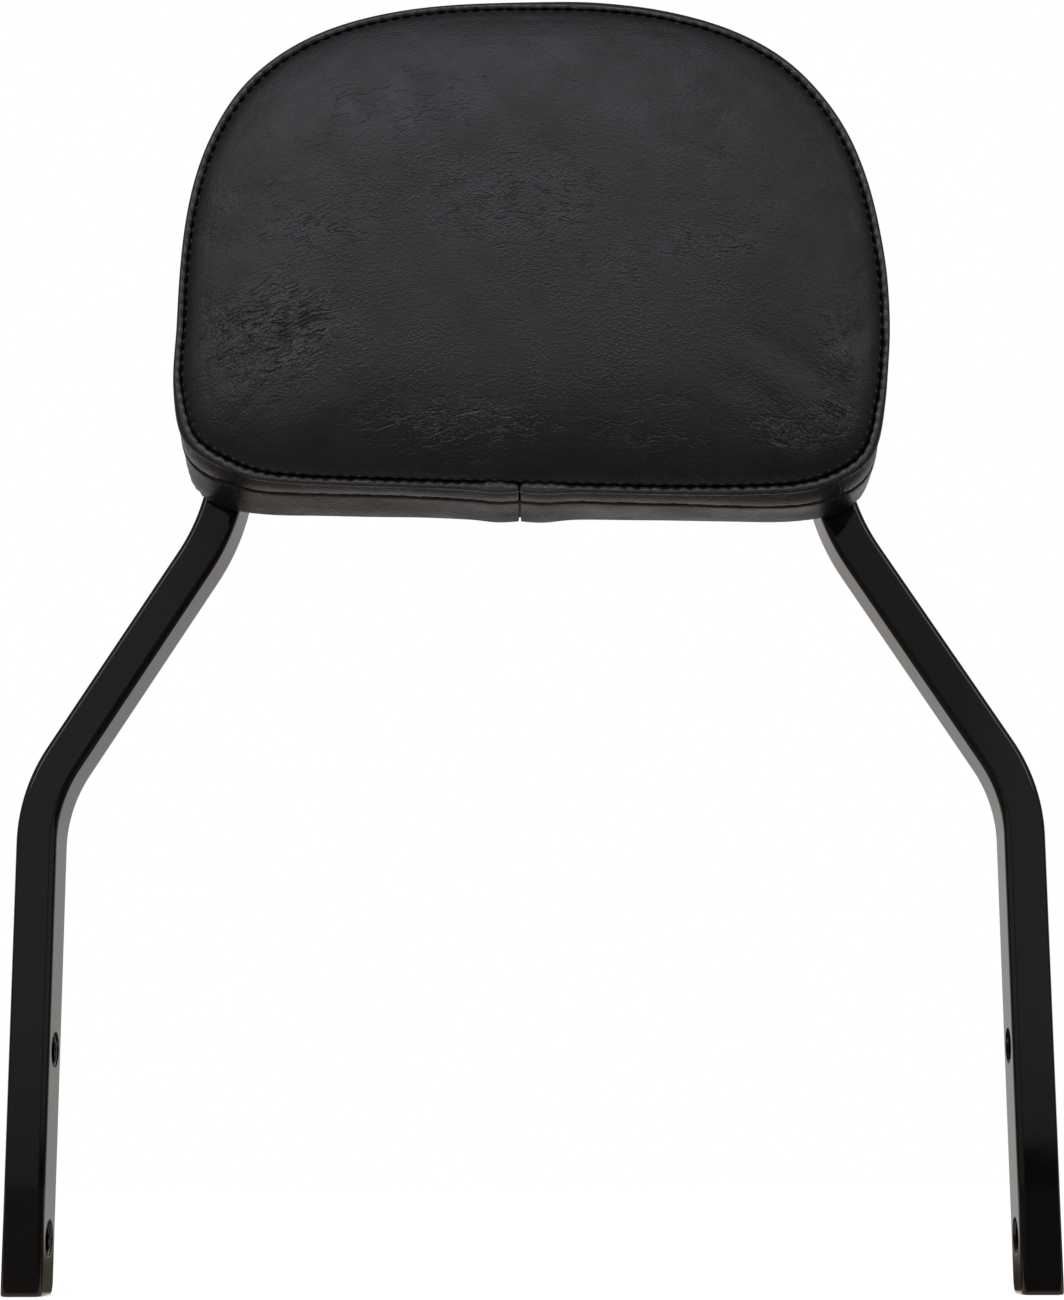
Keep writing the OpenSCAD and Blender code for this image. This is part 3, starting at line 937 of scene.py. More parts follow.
@dataclass
class PadForm:
    """The pad's outline and depths, and how the sewn cover sits askew on it.

    The numbers in stand_offs aren't measured sizes. A fitting script made them from edges of the pad that
    were found or traced in a picture of it, and about a third of them were then smoothed by hand.
    """

    widest: float = 47.5
    top_squareness: float = 2.75
    low_squareness: float = 6.3
    lean: float = -1.1
    front_shift: float = 2.3
    back_shift: float = 1.0
    fine_steps: int = 1801
    full_swell_radius: float = 60.0
    seam_reach: float = 40.0
    widening_columns: int = 8
    spacing: float = 0.62
    slit_half: float = 0.3
    slit_depth: float = 2.3
    slit_edge: float = 0.45
    slit_x_back: float = -1.77
    slit_x_front: float = -1.86
    stand_offs: tuple[StandOff, ...] = (
        StandOff(0.0, (
            1.5, 0.9, 0.9, 1.0, 1.5, 3.0, 3.6, 1.2, 0.3, 0.0, 0.0, 0.0, 0.0, 0.0, 0.0, 0.0, 0.0, 0.0, 0.0, 0.0,
            0.0, 0.0, 0.0, 0.0, 0.0, 0.0, 0.0, 0.0, 0.0, 0.0, 0.0, 0.0, 0.0, 0.6, 2.8, 2.2, 1.0, 0.8, 0.7, 1.2,
        )),
        StandOff(0.533, (
            0.6, 0.7, 1.2, 1.6, 2.8, 3.8, 2.6, 0.4, 0.4, 0.7, 0.7, 0.1, 0.0, 0.0, 0.1, 0.5, 0.6, 0.8, 0.9, 1.0,
            0.7, 0.3, 0.3, 0.5, 1.0, 1.2, 1.1, 0.6, 0.1, -0.2, -0.6, -0.5, -0.3, -0.7, -1.2, -0.5, -0.9, -0.8,
            -0.3, 0.4,
        )),
        StandOff(0.92, (
            2.6, 2.8, 3.3, 3.9, 4.4, 4.6, 2.2, 0.0, 0.4, 1.2, 1.0, 0.2, -0.1, -0.1, 0.1, 0.8, 1.0, 1.2, 1.4, 1.6,
            1.2, 0.6, 0.5, 0.8, 1.6, 1.9, 1.8, 1.0, 0.2, -0.4, -0.9, -0.9, -0.5, -1.0, -1.4, 1.2, 1.6, 1.7, 1.9,
            2.3,
        )),
        StandOff(1.0, (
            3.2, 3.5, 4.0, 4.5, 4.7, 4.7, 1.8, -1.4, 0.4, 1.4, 1.0, 0.1, -0.3, -0.4, -0.4, -0.3, -0.6, -0.9, -0.7,
            -0.6, -0.5, -0.5, -0.5, -0.3, 0.3, 1.0, 1.3, 0.8, 0.2, -0.4, -0.7, -0.9, -0.6, -2.8, -1.6, 1.8, 2.5,
            2.5, 2.7, 2.9,
        )),
    )

    def __post_init__(self) -> None:
        """Takes the pad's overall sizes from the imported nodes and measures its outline."""
        side_low, side_high = box_mm("side_band")
        self.half_width = (side_high[0] - side_low[0]) / 2
        self.low_z = side_low[2]
        self.high_z = side_high[2]
        self.height = self.high_z - self.low_z
        self.mid_z = (self.low_z + self.high_z) / 2
        self.back_y = side_high[1]
        self.seam_y = side_low[1]
        self.rim_y = box_mm("front_band")[0][1]
        self.fine_turns = self.spread_turns()
        x, z = self.outline(self.fine_turns, 0.0)
        self.fine_along = np.concatenate([[0.0], np.cumsum(np.hypot(np.diff(x), np.diff(z)))])
        self.girth = self.fine_along[-1]

    def spread_turns(self) -> np.ndarray:
        """Turns from the lowest middle all the way round, even enough in distance."""
        share = np.linspace(0, 1, self.fine_steps)
        low, top = (
            90 * share ** (p / 2) / (share ** (p / 2) + (1 - share) ** (p / 2))
            for p in (self.low_squareness, self.top_squareness)
        )
        return np.concatenate([-90 + low, top[1:], 90 + top[1:], 180 + low[1:]])

    def turns_at(self, along: np.ndarray) -> np.ndarray:
        """Turns, in degrees, at some distances round the outline from its lowest middle."""
        wrapped = np.mod(along, self.girth)
        return np.interp(wrapped, self.fine_along, self.fine_turns)

    def even_columns(self) -> np.ndarray:
        """Evenly spaced distances round the outline."""
        return np.linspace(0, self.girth, round(self.girth / self.spacing), endpoint=False)

    def slit_columns(self) -> tuple[np.ndarray, np.ndarray]:
        """Distances round the outline that open a rounded slit at the lowest middle.

        Returns:
            The distances, from one wall of the slit to the other, and how far each column drops.
        """
        corner = np.radians(np.linspace(0, 90, 9))
        near = self.slit_half + self.slit_edge * (1 - np.cos(corner))
        drops = self.slit_edge * (1 - np.sin(corner))
        far = near[-1] + np.cumsum(np.linspace(0.2, self.spacing, self.widening_columns))
        start = np.concatenate([[self.slit_half], near, far])
        start_drops = np.concatenate([[self.slit_depth], drops, np.zeros(self.widening_columns)])
        rest = self.girth - 2 * start[-1]
        middle = start[-1] + np.linspace(0, rest, round(rest / self.spacing) + 1)[1:-1]
        along = np.concatenate([start, middle, self.girth - start[::-1]])
        return along, np.concatenate([start_drops, np.zeros(len(middle)), start_drops[::-1]])

    def outline(self, turns: np.ndarray, inset: np.ndarray | float) -> tuple[np.ndarray, np.ndarray]:
        """Across and height of the outline at some turns, drawn in by inset.

        Args:
            turns: degrees round the outline, 0 at the right and 90 at the top.
            inset: millimetres inwards.

        Returns:
            Arrays of x and z.
        """
        t = np.radians(turns)
        upper = np.sin(t) >= 0
        power = 2 / np.where(upper, self.top_squareness, self.low_squareness)
        half_height = np.where(upper, self.height - self.widest, self.widest) - inset
        x = np.sign(np.cos(t)) * (self.half_width - inset) * np.abs(np.cos(t)) ** power
        z = self.low_z + self.widest + np.sign(np.sin(t)) * half_height * np.abs(np.sin(t)) ** power
        return x, z

    def askew(self, x: np.ndarray, y: np.ndarray, z: np.ndarray, turns: np.ndarray) -> np.ndarray:
        """Moves drawn points to where the hand-sewn cover has them.

        Args:
            x: across.
            y: depth, in the part's frame.
            z: height.
            turns: degrees round the outline.

        Returns:
            Points, one more axis of three.
        """
        forward = np.clip((self.back_y - y) / (self.back_y - self.rim_y), 0, 1)
        rounds = np.interp(turns, self.fine_turns, self.fine_along) / self.girth
        swell = np.zeros_like(x)
        for back, front in zip(self.stand_offs, self.stand_offs[1:]):
            share = np.clip((forward - back.forward) / (front.forward - back.forward), 0, 1)
            inside = (forward > back.forward) & (forward <= front.forward) | (forward == back.forward)
            part = back.at(rounds) * (1 - share) + front.at(rounds) * share
            swell = np.where(inside, part, swell)
        radius = np.hypot(x, z - self.mid_z)
        grow = 1 + swell * np.clip(radius / self.full_swell_radius, 0, 1) / np.maximum(radius, 1.0)
        x, high = x * grow, (z - self.mid_z) * grow
        c, s = math.cos(math.radians(self.lean)), math.sin(math.radians(self.lean))
        shift = self.back_shift + (self.front_shift - self.back_shift) * forward
        return np.stack([c * x - s * high + shift, y, s * x + c * high + self.mid_z], -1)

    def rings(self, profile: np.ndarray, along: np.ndarray, slit: bool) -> np.ndarray:
        """Points of a band, from its section.

        Args:
            profile: inset and depth behind the bar's front, one row for each ring.
            along: distances round the outline, one for each column.
            slit: whether the columns follow the slanting closing seam.

        Returns:
            Array of rings by columns by three.
        """
        depth = profile[:, 1:2]
        around = np.broadcast_to(along, (len(profile), len(along)))
        if slit:
            forward = depth / (self.rim_y - self.back_y)
            from_seam = np.where(along > self.girth / 2, along - self.girth, along)[None, :]
            lean = self.slit_x_back + (self.slit_x_front - self.slit_x_back) * forward
            around = around + lean * np.exp(-((from_seam / self.seam_reach) ** 2))
        turns = self.turns_at(around)
        x, z = self.outline(turns, profile[:, :1])
        return self.askew(x, np.broadcast_to(self.back_y + depth, x.shape), z, turns)


def arc(cx: float, cy: float, radius: float, start: float, end: float, steps: int) -> np.ndarray:
    """Points on part of a circle, from one angle in degrees to another."""
    a = np.radians(np.linspace(start, end, steps + 1))
    return np.stack([cx + radius * np.cos(a), cy + radius * np.sin(a)], 1)


def smooth_path(knots: Sequence[tuple[float, float]], spacing: float) -> np.ndarray:
    """A soft curve through knots, as points about spacing apart."""
    k = np.array(knots, float)
    ends = np.concatenate([[2 * k[0] - k[1]], k, [2 * k[-1] - k[-2]]])
    points = []
    for i in range(len(k) - 1):
        p0, p1, p2, p3 = ends[i : i + 4]
        count = max(2, math.ceil(np.linalg.norm(p2 - p1) / spacing))
        for t in np.linspace(0, 1, count, endpoint=False):
            curve = 2 * p1 + (p2 - p0) * t + (2 * p0 - 5 * p1 + 4 * p2 - p3) * t**2
            points.append(0.5 * (curve + (3 * p1 - p0 - 3 * p2 + p3) * t**3))
    points.append(k[-1])
    return np.array(points)


class Swell:
    """Smooth seeded noise in space, a sum of waves with random directions."""

    def __init__(self, seed: int, longest: float, shortest: float, waves: int = 28) -> None:
        """Draws the waves that make it up."""
        rng = np.random.default_rng(seed)
        ways = rng.normal(size=(waves, 3))
        ways /= np.linalg.norm(ways, axis=1, keepdims=True)
        lengths = np.exp(rng.uniform(math.log(shortest), math.log(longest), waves))
        self.ways = ways * (2 * math.pi / lengths)[:, None]
        self.sizes = lengths / longest
        self.sizes /= np.sqrt((self.sizes**2).sum() / 2)
        self.phases = rng.uniform(0, 2 * math.pi, waves)

    def at(self, points: np.ndarray) -> np.ndarray:
        """Height at some points, mostly -1 to 1."""
        return np.cos(points @ self.ways.T + self.phases) @ self.sizes / 1.6


def grid_normals(points: np.ndarray) -> np.ndarray:
    """Unit normals, away from the pad, of a grid of points whose columns close on themselves."""
    down = np.gradient(points, axis=0)
    along = np.roll(points, -1, 1) - np.roll(points, 1, 1)
    normals = np.cross(along, down)
    return normals / np.maximum(np.linalg.norm(normals, axis=2, keepdims=True), 1e-9)


@dataclass
class Cover:
    """The sewn vinyl cover: face, front band and side band, with their seams and stitches."""

    form: PadForm
    vinyl: Material
    band_vinyl: Material
    thread: Material
    wall: float = 1.2
    fold: float = 3.05
    face_edge: float = 3.0
    crown: float = 10.0
    groove: float = 1.8
    shoulder: float = 5.0
    hem: float = 16.0
    back_radius: float = 3.0
    stitch_pitch: float = 3.75
    stitch_length: float = 0.8
    thread_radius: float = 0.16
    lip_inset: float = 0.25
    lip_radius: float = 0.9
    front_wave: float = 0.2
    lip_pull: float = 0.13
    lip_wrinkle: float = 0.1
    roll_pull: float = 0.34
    roll_wrinkle: float = 0.12
    pleat_depth: float = 0.85
    corner_pull: float = 0.3
    pull_slant: float = 0.55
    side_wave: float = 0.16
    rim_pull: float = 0.22
    face_wave: float = 0.28
    face_rings: int = 76
    weave: float = 4.5
    pressure: float = 4.0
    frames: int = 20
    loosest: float = 1.6
    inflation: float = 0.5
    held_depth: float = 1.5
    loosening_depth: float = 3.0
    neighbours: int = 6

    def __post_init__(self) -> None:
        """Lays out the columns of the bands."""
        self.along, self.drops = self.form.slit_columns()
        self.from_seam = np.where(self.along > self.form.girth / 2, self.along - self.form.girth, self.along)
        count = round(self.form.girth / self.stitch_pitch)
        self.stitch_pitch = self.form.girth / count

    def puckers(self, along: np.ndarray, sharpness: float) -> np.ndarray:
        """Pull of the stitches along a seam, 1 where the thread dives in and 0 between."""
        wave = 0.5 + 0.5 * np.cos(2 * math.pi * along / self.stitch_pitch)
        return wave**sharpness

    def closing_seam(self) -> np.ndarray:
        """Lift of each column beside the seam that closes the bands."""
        swell = 0.65 * np.exp(-(((np.abs(self.from_seam) - 7.0) / 6.0) ** 2))
        return swell - self.drops

    def close_band(self, name: str, surface: np.ndarray, moved: np.ndarray, inner: np.ndarray) -> Piece:
        """Makes a band of an outer surface, moved along its normals, and a plain inner surface."""
        surface = surface + grid_normals(surface) * moved[..., None]
        lining = self.form.rings(inner, self.along, True)
        points = np.concatenate([surface, lining])
        rows, columns = points.shape[:2]
        faces = grid_faces(rows, columns, True, True)
        band = add_mesh(name, points.reshape(-1, 3), faces, self.band_vinyl)
        turn_outwards(band)
        return band

    def front_band(self) -> Piece:
        """The band round the front, folded over into a roll at the rim."""
        form = self.form
        seam, rim = form.seam_y - form.back_y, form.rim_y - form.back_y
        r = self.fold / 2
        lip_end = seam - self.lip_radius - self.lip_radius
        lip = arc(self.lip_radius + self.lip_inset, lip_end, self.lip_radius, 100, 180, 7)
        knots = [(self.lip_inset, lip_end), (0.4, seam - 4.0), (0.8, seam - 6.6), (1.6, seam - 9.6)]
        knots += [(2.5, rim + 8.2), (2.75, rim + 6.4), (1.9, rim + 4.6), (0.75, rim + 3.2)]
        knots += [(0.45, rim + 2.0), (0.75, rim + 0.9), (r, rim + 0.25)]
        side = smooth_path(knots, 0.6)[1:-1]
        roll = arc(r, rim + r + 0.25, r, 270, 360, 10)
        deep = np.array([(self.fold, rim + r + 1.6), (self.fold, rim + r + 3.6)])
        outer = np.concatenate([[(3.8, seam - 0.6), (2.6, seam - 0.85)], lip, side, roll, deep])
        inner = np.array([
            (self.fold + 0.6, rim + 6.0),
            (self.fold + 1.1, rim + 7.4),
            (self.wall + 1.6, seam - 8.0),
            (self.wall + 0.9, seam - 4.5),
            (3.6, seam - 2.4),
        ])
        surface = form.rings(outer, self.along, True)
        depth = outer[:, 1:2]
        share = np.clip((depth - rim) / (seam - rim), 0, 1)
        shown = (np.arange(len(outer)) > 1)[:, None] * (np.arange(len(outer)) < len(outer) - 2)[:, None]
        moved = self.front_wave * Swell(11, 60.0, 14.0).at(surface) * np.sin(np.pi * share)
        lip_share = np.exp(-(((depth - seam + 1.0) / 1.2) ** 2))
        roll_share = np.exp(-(((depth - rim - 0.6) / 1.3) ** 2)) * np.clip(outer[:, :1] - 0.8, 0, 1)
        moved = moved - self.lip_pull * lip_share * self.puckers(self.along, 2.0)
        moved = moved + self.lip_wrinkle * lip_share * Swell(12, 9.0, 3.0).at(surface)
        moved = moved - self.roll_pull * roll_share * self.puckers(self.along, 1.5)
        moved = moved + self.roll_wrinkle * roll_share * Swell(13, 7.0, 2.5).at(surface)
        moved = (moved + self.closing_seam()) * shown
        return settle(self.close_band("front_band_vinyl", surface, moved, inner), Slot.VINYL, "front_band")

    def side_band(self) -> Piece:
        """The band round the back half, turned over the board's edge and gathered in a hem."""
        form = self.form
        seam = form.seam_y - form.back_y
        r = self.back_radius
        hem = np.stack([np.linspace(self.hem, r, 18), np.full(18, -0.02)], 1)
        edge = arc(r, -r, r, 90, 180, 8)[1:]
        knots = [(0.0, -r), (-0.05, -8.0), (0.02, -14.0), (0.0, seam + 3.8), (0.05, seam + 1.8)]
        side = smooth_path(knots, 0.7)[1:]
        roll = arc(0.95, seam + 1.8, 0.9, 180, 270, 7)[1:]
        outer = np.concatenate([hem, edge, side, roll, [(3.8, seam + 0.6)]])
        inner = np.array([
            (3.8, seam + 2.0),
            (self.wall + 1.1, seam + 3.3),
            (self.wall + 0.2, -r - 1.5),
            (r + 0.4, -self.wall - 0.2),
            (self.hem, -self.wall),
        ])
        surface = form.rings(outer, self.along, True)
        depth = outer[:, 1:2]
        on_back = depth > -0.5
        share = depth / seam
        turns = form.turns_at(self.along)
        corner = np.exp(-(((np.abs(turns - 90) - 126) / 17.0) ** 2))[None, :]
        gathers = np.abs(Ripple(31, form.girth, 15.0, 4.5).at(self.along))[None, :]
        flat = np.clip(outer[:, :1] / self.hem, 0, 1)
        turned = np.exp(-((share / 0.35) ** 2))
        pleats = np.where(on_back, -self.pleat_depth * flat * gathers * (0.4 + corner), 0.0)
        slanted = self.along[None, :] + self.pull_slant * depth
        waves = Ripple(33, form.girth, 11.0, 4.0).at_many(slanted)
        pulled = -self.corner_pull * np.abs(waves) * corner * turned
        inside = np.sin(np.pi * np.clip(share, 0.04, 0.96))
        calm = self.side_wave * Swell(21, 60.0, 15.0).at(surface) * inside
        moved = np.where(on_back, pleats, pulled + calm)
        last = np.arange(len(outer))[:, None] == len(outer) - 1
        moved = np.where(last, 0.0, moved + np.where(on_back, 0.0, self.closing_seam()))
        return settle(self.close_band("side_band_vinyl", surface, moved, inner), Slot.VINYL, "side_band")

    def dome(self, share: np.ndarray, crown: float) -> np.ndarray:
        """Height of the face above the groove, at a share of its full size."""
        return crown * np.sqrt(np.clip(1 - share**self.shoulder, 0, 1))

    def dome_shares(self, rings: int) -> np.ndarray:
        """Shares of the full size, close together near the rim."""
        lift = np.linspace(0, 1, rings, endpoint=False) ** 1.9
        shares = (1 - lift**1.25) ** (1 / self.shoulder)
        shares = shares[shares > 0.3]
        return np.concatenate([shares, np.linspace(shares[-1], 0.03, 14)[1:]])

    def domed(
        self, edge: float, start: float, crown: float, rings: int, along: np.ndarray
    ) -> tuple[np.ndarray, np.ndarray]:
        """Rings of a domed form.

        Args:
            edge: inset of its outline.
            start: depth of its edge behind the bar's front.
            crown: how far it swells beyond that depth.
            rings: how many rings to draw.
            along: distances round the outline.

        Returns:
            Points, rings by columns by three, and each ring's share of the full size.
        """
        form = self.form
        turns = form.turns_at(along)
        shares = self.dome_shares(rings)
        x0, z0 = form.outline(turns, edge)
        x = shares[:, None] * x0
        z = form.mid_z + shares[:, None] * (z0 - form.mid_z)
        y = np.broadcast_to((form.back_y + start - self.dome(shares, crown))[:, None], x.shape)
        return form.askew(x, y, z, np.broadcast_to(turns, x.shape)), shares

    def face(self) -> Piece:
        """The crowned front panel, a closed form with its edge tucked into the groove."""
        form = self.form
        along = form.even_columns()
        groove = form.rim_y - form.back_y + self.groove
        points, shares = self.domed(self.face_edge, groove, self.crown + self.groove, self.face_rings, along)
        near_rim = np.exp(-(((1 - shares) / 0.02) ** 2))[:, None]
        loose = (shares**2 * (1 - shares**10))[:, None]
        moved = -self.rim_pull * near_rim * self.puckers(along, 1.5)
        moved = moved + self.face_wave * loose * Swell(41, 70.0, 22.0).at(points)
        points = points + grid_normals(points) * moved[..., None]
        tucked = np.repeat(points[:1], 2, axis=0) + np.array([[[0.0, 3.4, 0.0]], [[0.0, 1.6, 0.0]]])
        panel = self.capped("face_vinyl", np.concatenate([tucked, points]), self.vinyl)
        self.inflate(panel)
        return settle(panel, Slot.VINYL, "face_panel")

    def inflate(self, panel: Piece) -> None:
        """Blows a coarse cloth copy of the panel up and carries its movement over to the panel.

        The copy is held at the rim, swells under pressure for some frames and pulls folds in from its
        corners.

        Args:
            panel: the closed form of the face.
        """
        coarse = panel.copy()
        coarse.data = panel.data.copy()
        bpy.context.collection.objects.link(coarse)
        remesh = coarse.modifiers.new("weave", "REMESH")
        remesh.mode = "VOXEL"
        remesh.voxel_size = self.weave * MM
        coarse = evaluated(coarse)
        before = points_mm(coarse.data)
        held = coarse.vertex_groups.new(name="held")
        held_y = self.form.rim_y - self.held_depth
        fixed = np.nonzero(before[:, 1] > held_y)[0]
        held.add(fixed.tolist(), 1.0, "REPLACE")
        cloth = coarse.modifiers.new("swelling", "CLOTH")
        cloth.settings.use_pressure = True
        cloth.settings.uniform_pressure_force = self.pressure
        cloth.settings.effector_weights.gravity = 0.0
        cloth.settings.vertex_group_mass = "held"
        cloth.point_cache.frame_start = 1
        cloth.point_cache.frame_end = self.frames
        for frame in range(1, self.frames + 1):
            bpy.context.scene.frame_set(frame)
        graph = bpy.context.evaluated_depsgraph_get()
        move = points_mm(coarse.evaluated_get(graph).data) - before
        bpy.context.scene.frame_set(1)
        bpy.data.objects.remove(coarse)
        size = np.linalg.norm(move, axis=1, keepdims=True)
        move = move * np.minimum(1.0, self.loosest / np.maximum(size, 1e-6))
        tree = KDTree(len(before))
        for i, place in enumerate(before):
            tree.insert(place, i)
        tree.balance()
        points = points_mm(panel.data)
        carried = np.zeros_like(points)
        for i, place in enumerate(points):
            near = tree.find_n(place, self.neighbours)
            weights = np.array([1 / (distance + 1.0) ** 2 for _, _, distance in near])
            carried[i] = weights @ move[[index for _, index, _ in near]] / weights.sum()
        free = np.clip((held_y - points[:, 1:2]) / self.loosening_depth, 0, 1)
        moved = points + carried * free * self.inflation
        panel.data.vertices.foreach_set("co", (moved * MM).astype(np.float32).ravel())
        panel.data.update()
        message = "face cloth: %d points, mean move %.2f mm, most %.2f mm"
        LOG.info(message, len(before), size.mean(), size.max())

    def capped(self, name: str, points: np.ndarray, material: Material) -> Piece:
        """Closes a grid of rings at both ends with a fan."""
        rings, columns = points.shape[:2]
        middle = points[-1].mean(0)
        back = points[0].mean(0)
        flat = np.concatenate([points.reshape(-1, 3), [middle, back]])
        faces = grid_faces(rings, columns, False, True)
        last = (rings - 1) * columns
        faces += [(last + j, last + (j + 1) % columns, rings * columns) for j in range(columns)]
        faces += [((j + 1) % columns, j, rings * columns + 1) for j in range(columns)]
        piece = add_mesh(name, flat, faces, material)
        turn_outwards(piece)
        return piece

    def stitches(self) -> Piece:
        """Lockstitches in the ditch between the roll and the face."""
        form = self.form
        count = round(form.girth / self.stitch_pitch)
        along = (np.arange(count) + 0.5) * self.stitch_pitch
        groove = form.rim_y - form.back_y
        section = np.array([(self.face_edge + 0.68, groove - 0.55), (self.face_edge + 0.5, groove + 0.9)])
        ends = np.stack([along - 0.2, along + 0.2])
        here = form.rings(section, along, False)
        before, after = (form.rings(section[:1], row, False)[0] for row in ends)
        ahead = after - before
        seats = Seats(here[0], ahead, np.cross(ahead, here[1] - here[0]))
        sizes = {"Length": self.stitch_length, "Radius": self.thread_radius}
        return Repeater(self.thread).stitches("rim_stitches", seats, sizes)

    def build(self) -> None:
        """Builds the three panels and the stitches."""
        self.side_band()
        self.front_band()
        self.face()
        settle(self.stitches(), Slot.VINYL)


class Ripple:
    """Smooth seeded noise over the distance round the pad, closed on itself."""

    def __init__(self, seed: int, girth: float, longest: float, shortest: float) -> None:
        """Draws the waves that make it up."""
        rng = np.random.default_rng(seed)
        first, last = max(1, round(girth / longest)), round(girth / shortest)
        self.girth = girth
        self.orders = np.arange(first, last + 1)
        self.sizes = rng.normal(size=len(self.orders)) / np.sqrt(len(self.orders))
        self.phases = rng.uniform(0, 2 * math.pi, len(self.orders))

    def at(self, along: np.ndarray) -> np.ndarray:
        """Height at some distances, about -1 to 1."""
        turns = 2 * math.pi * self.orders[:, None] * along[None, :] / self.girth
        return self.sizes @ np.cos(turns + self.phases[:, None])

    def at_many(self, along: np.ndarray) -> np.ndarray:
        """Height at a grid of distances."""
        return self.at(along.ravel()).reshape(along.shape)


@dataclass
class Seats:
    """Where copies go, in millimetres, with the way that each one's X and Z axes point."""

    places: np.ndarray
    ahead: np.ndarray
    lift: np.ndarray

    def turns(self) -> np.ndarray:
        """Rotation of each copy, as Euler angles."""
        turns = []
        for forward, upward in zip(self.ahead, self.lift):
            x = Vector(forward).normalized()
            y = Vector(upward).cross(x).normalized()
            turns.append(tuple(Matrix((x, y, x.cross(y))).transposed().to_euler()))
        return np.array(turns)


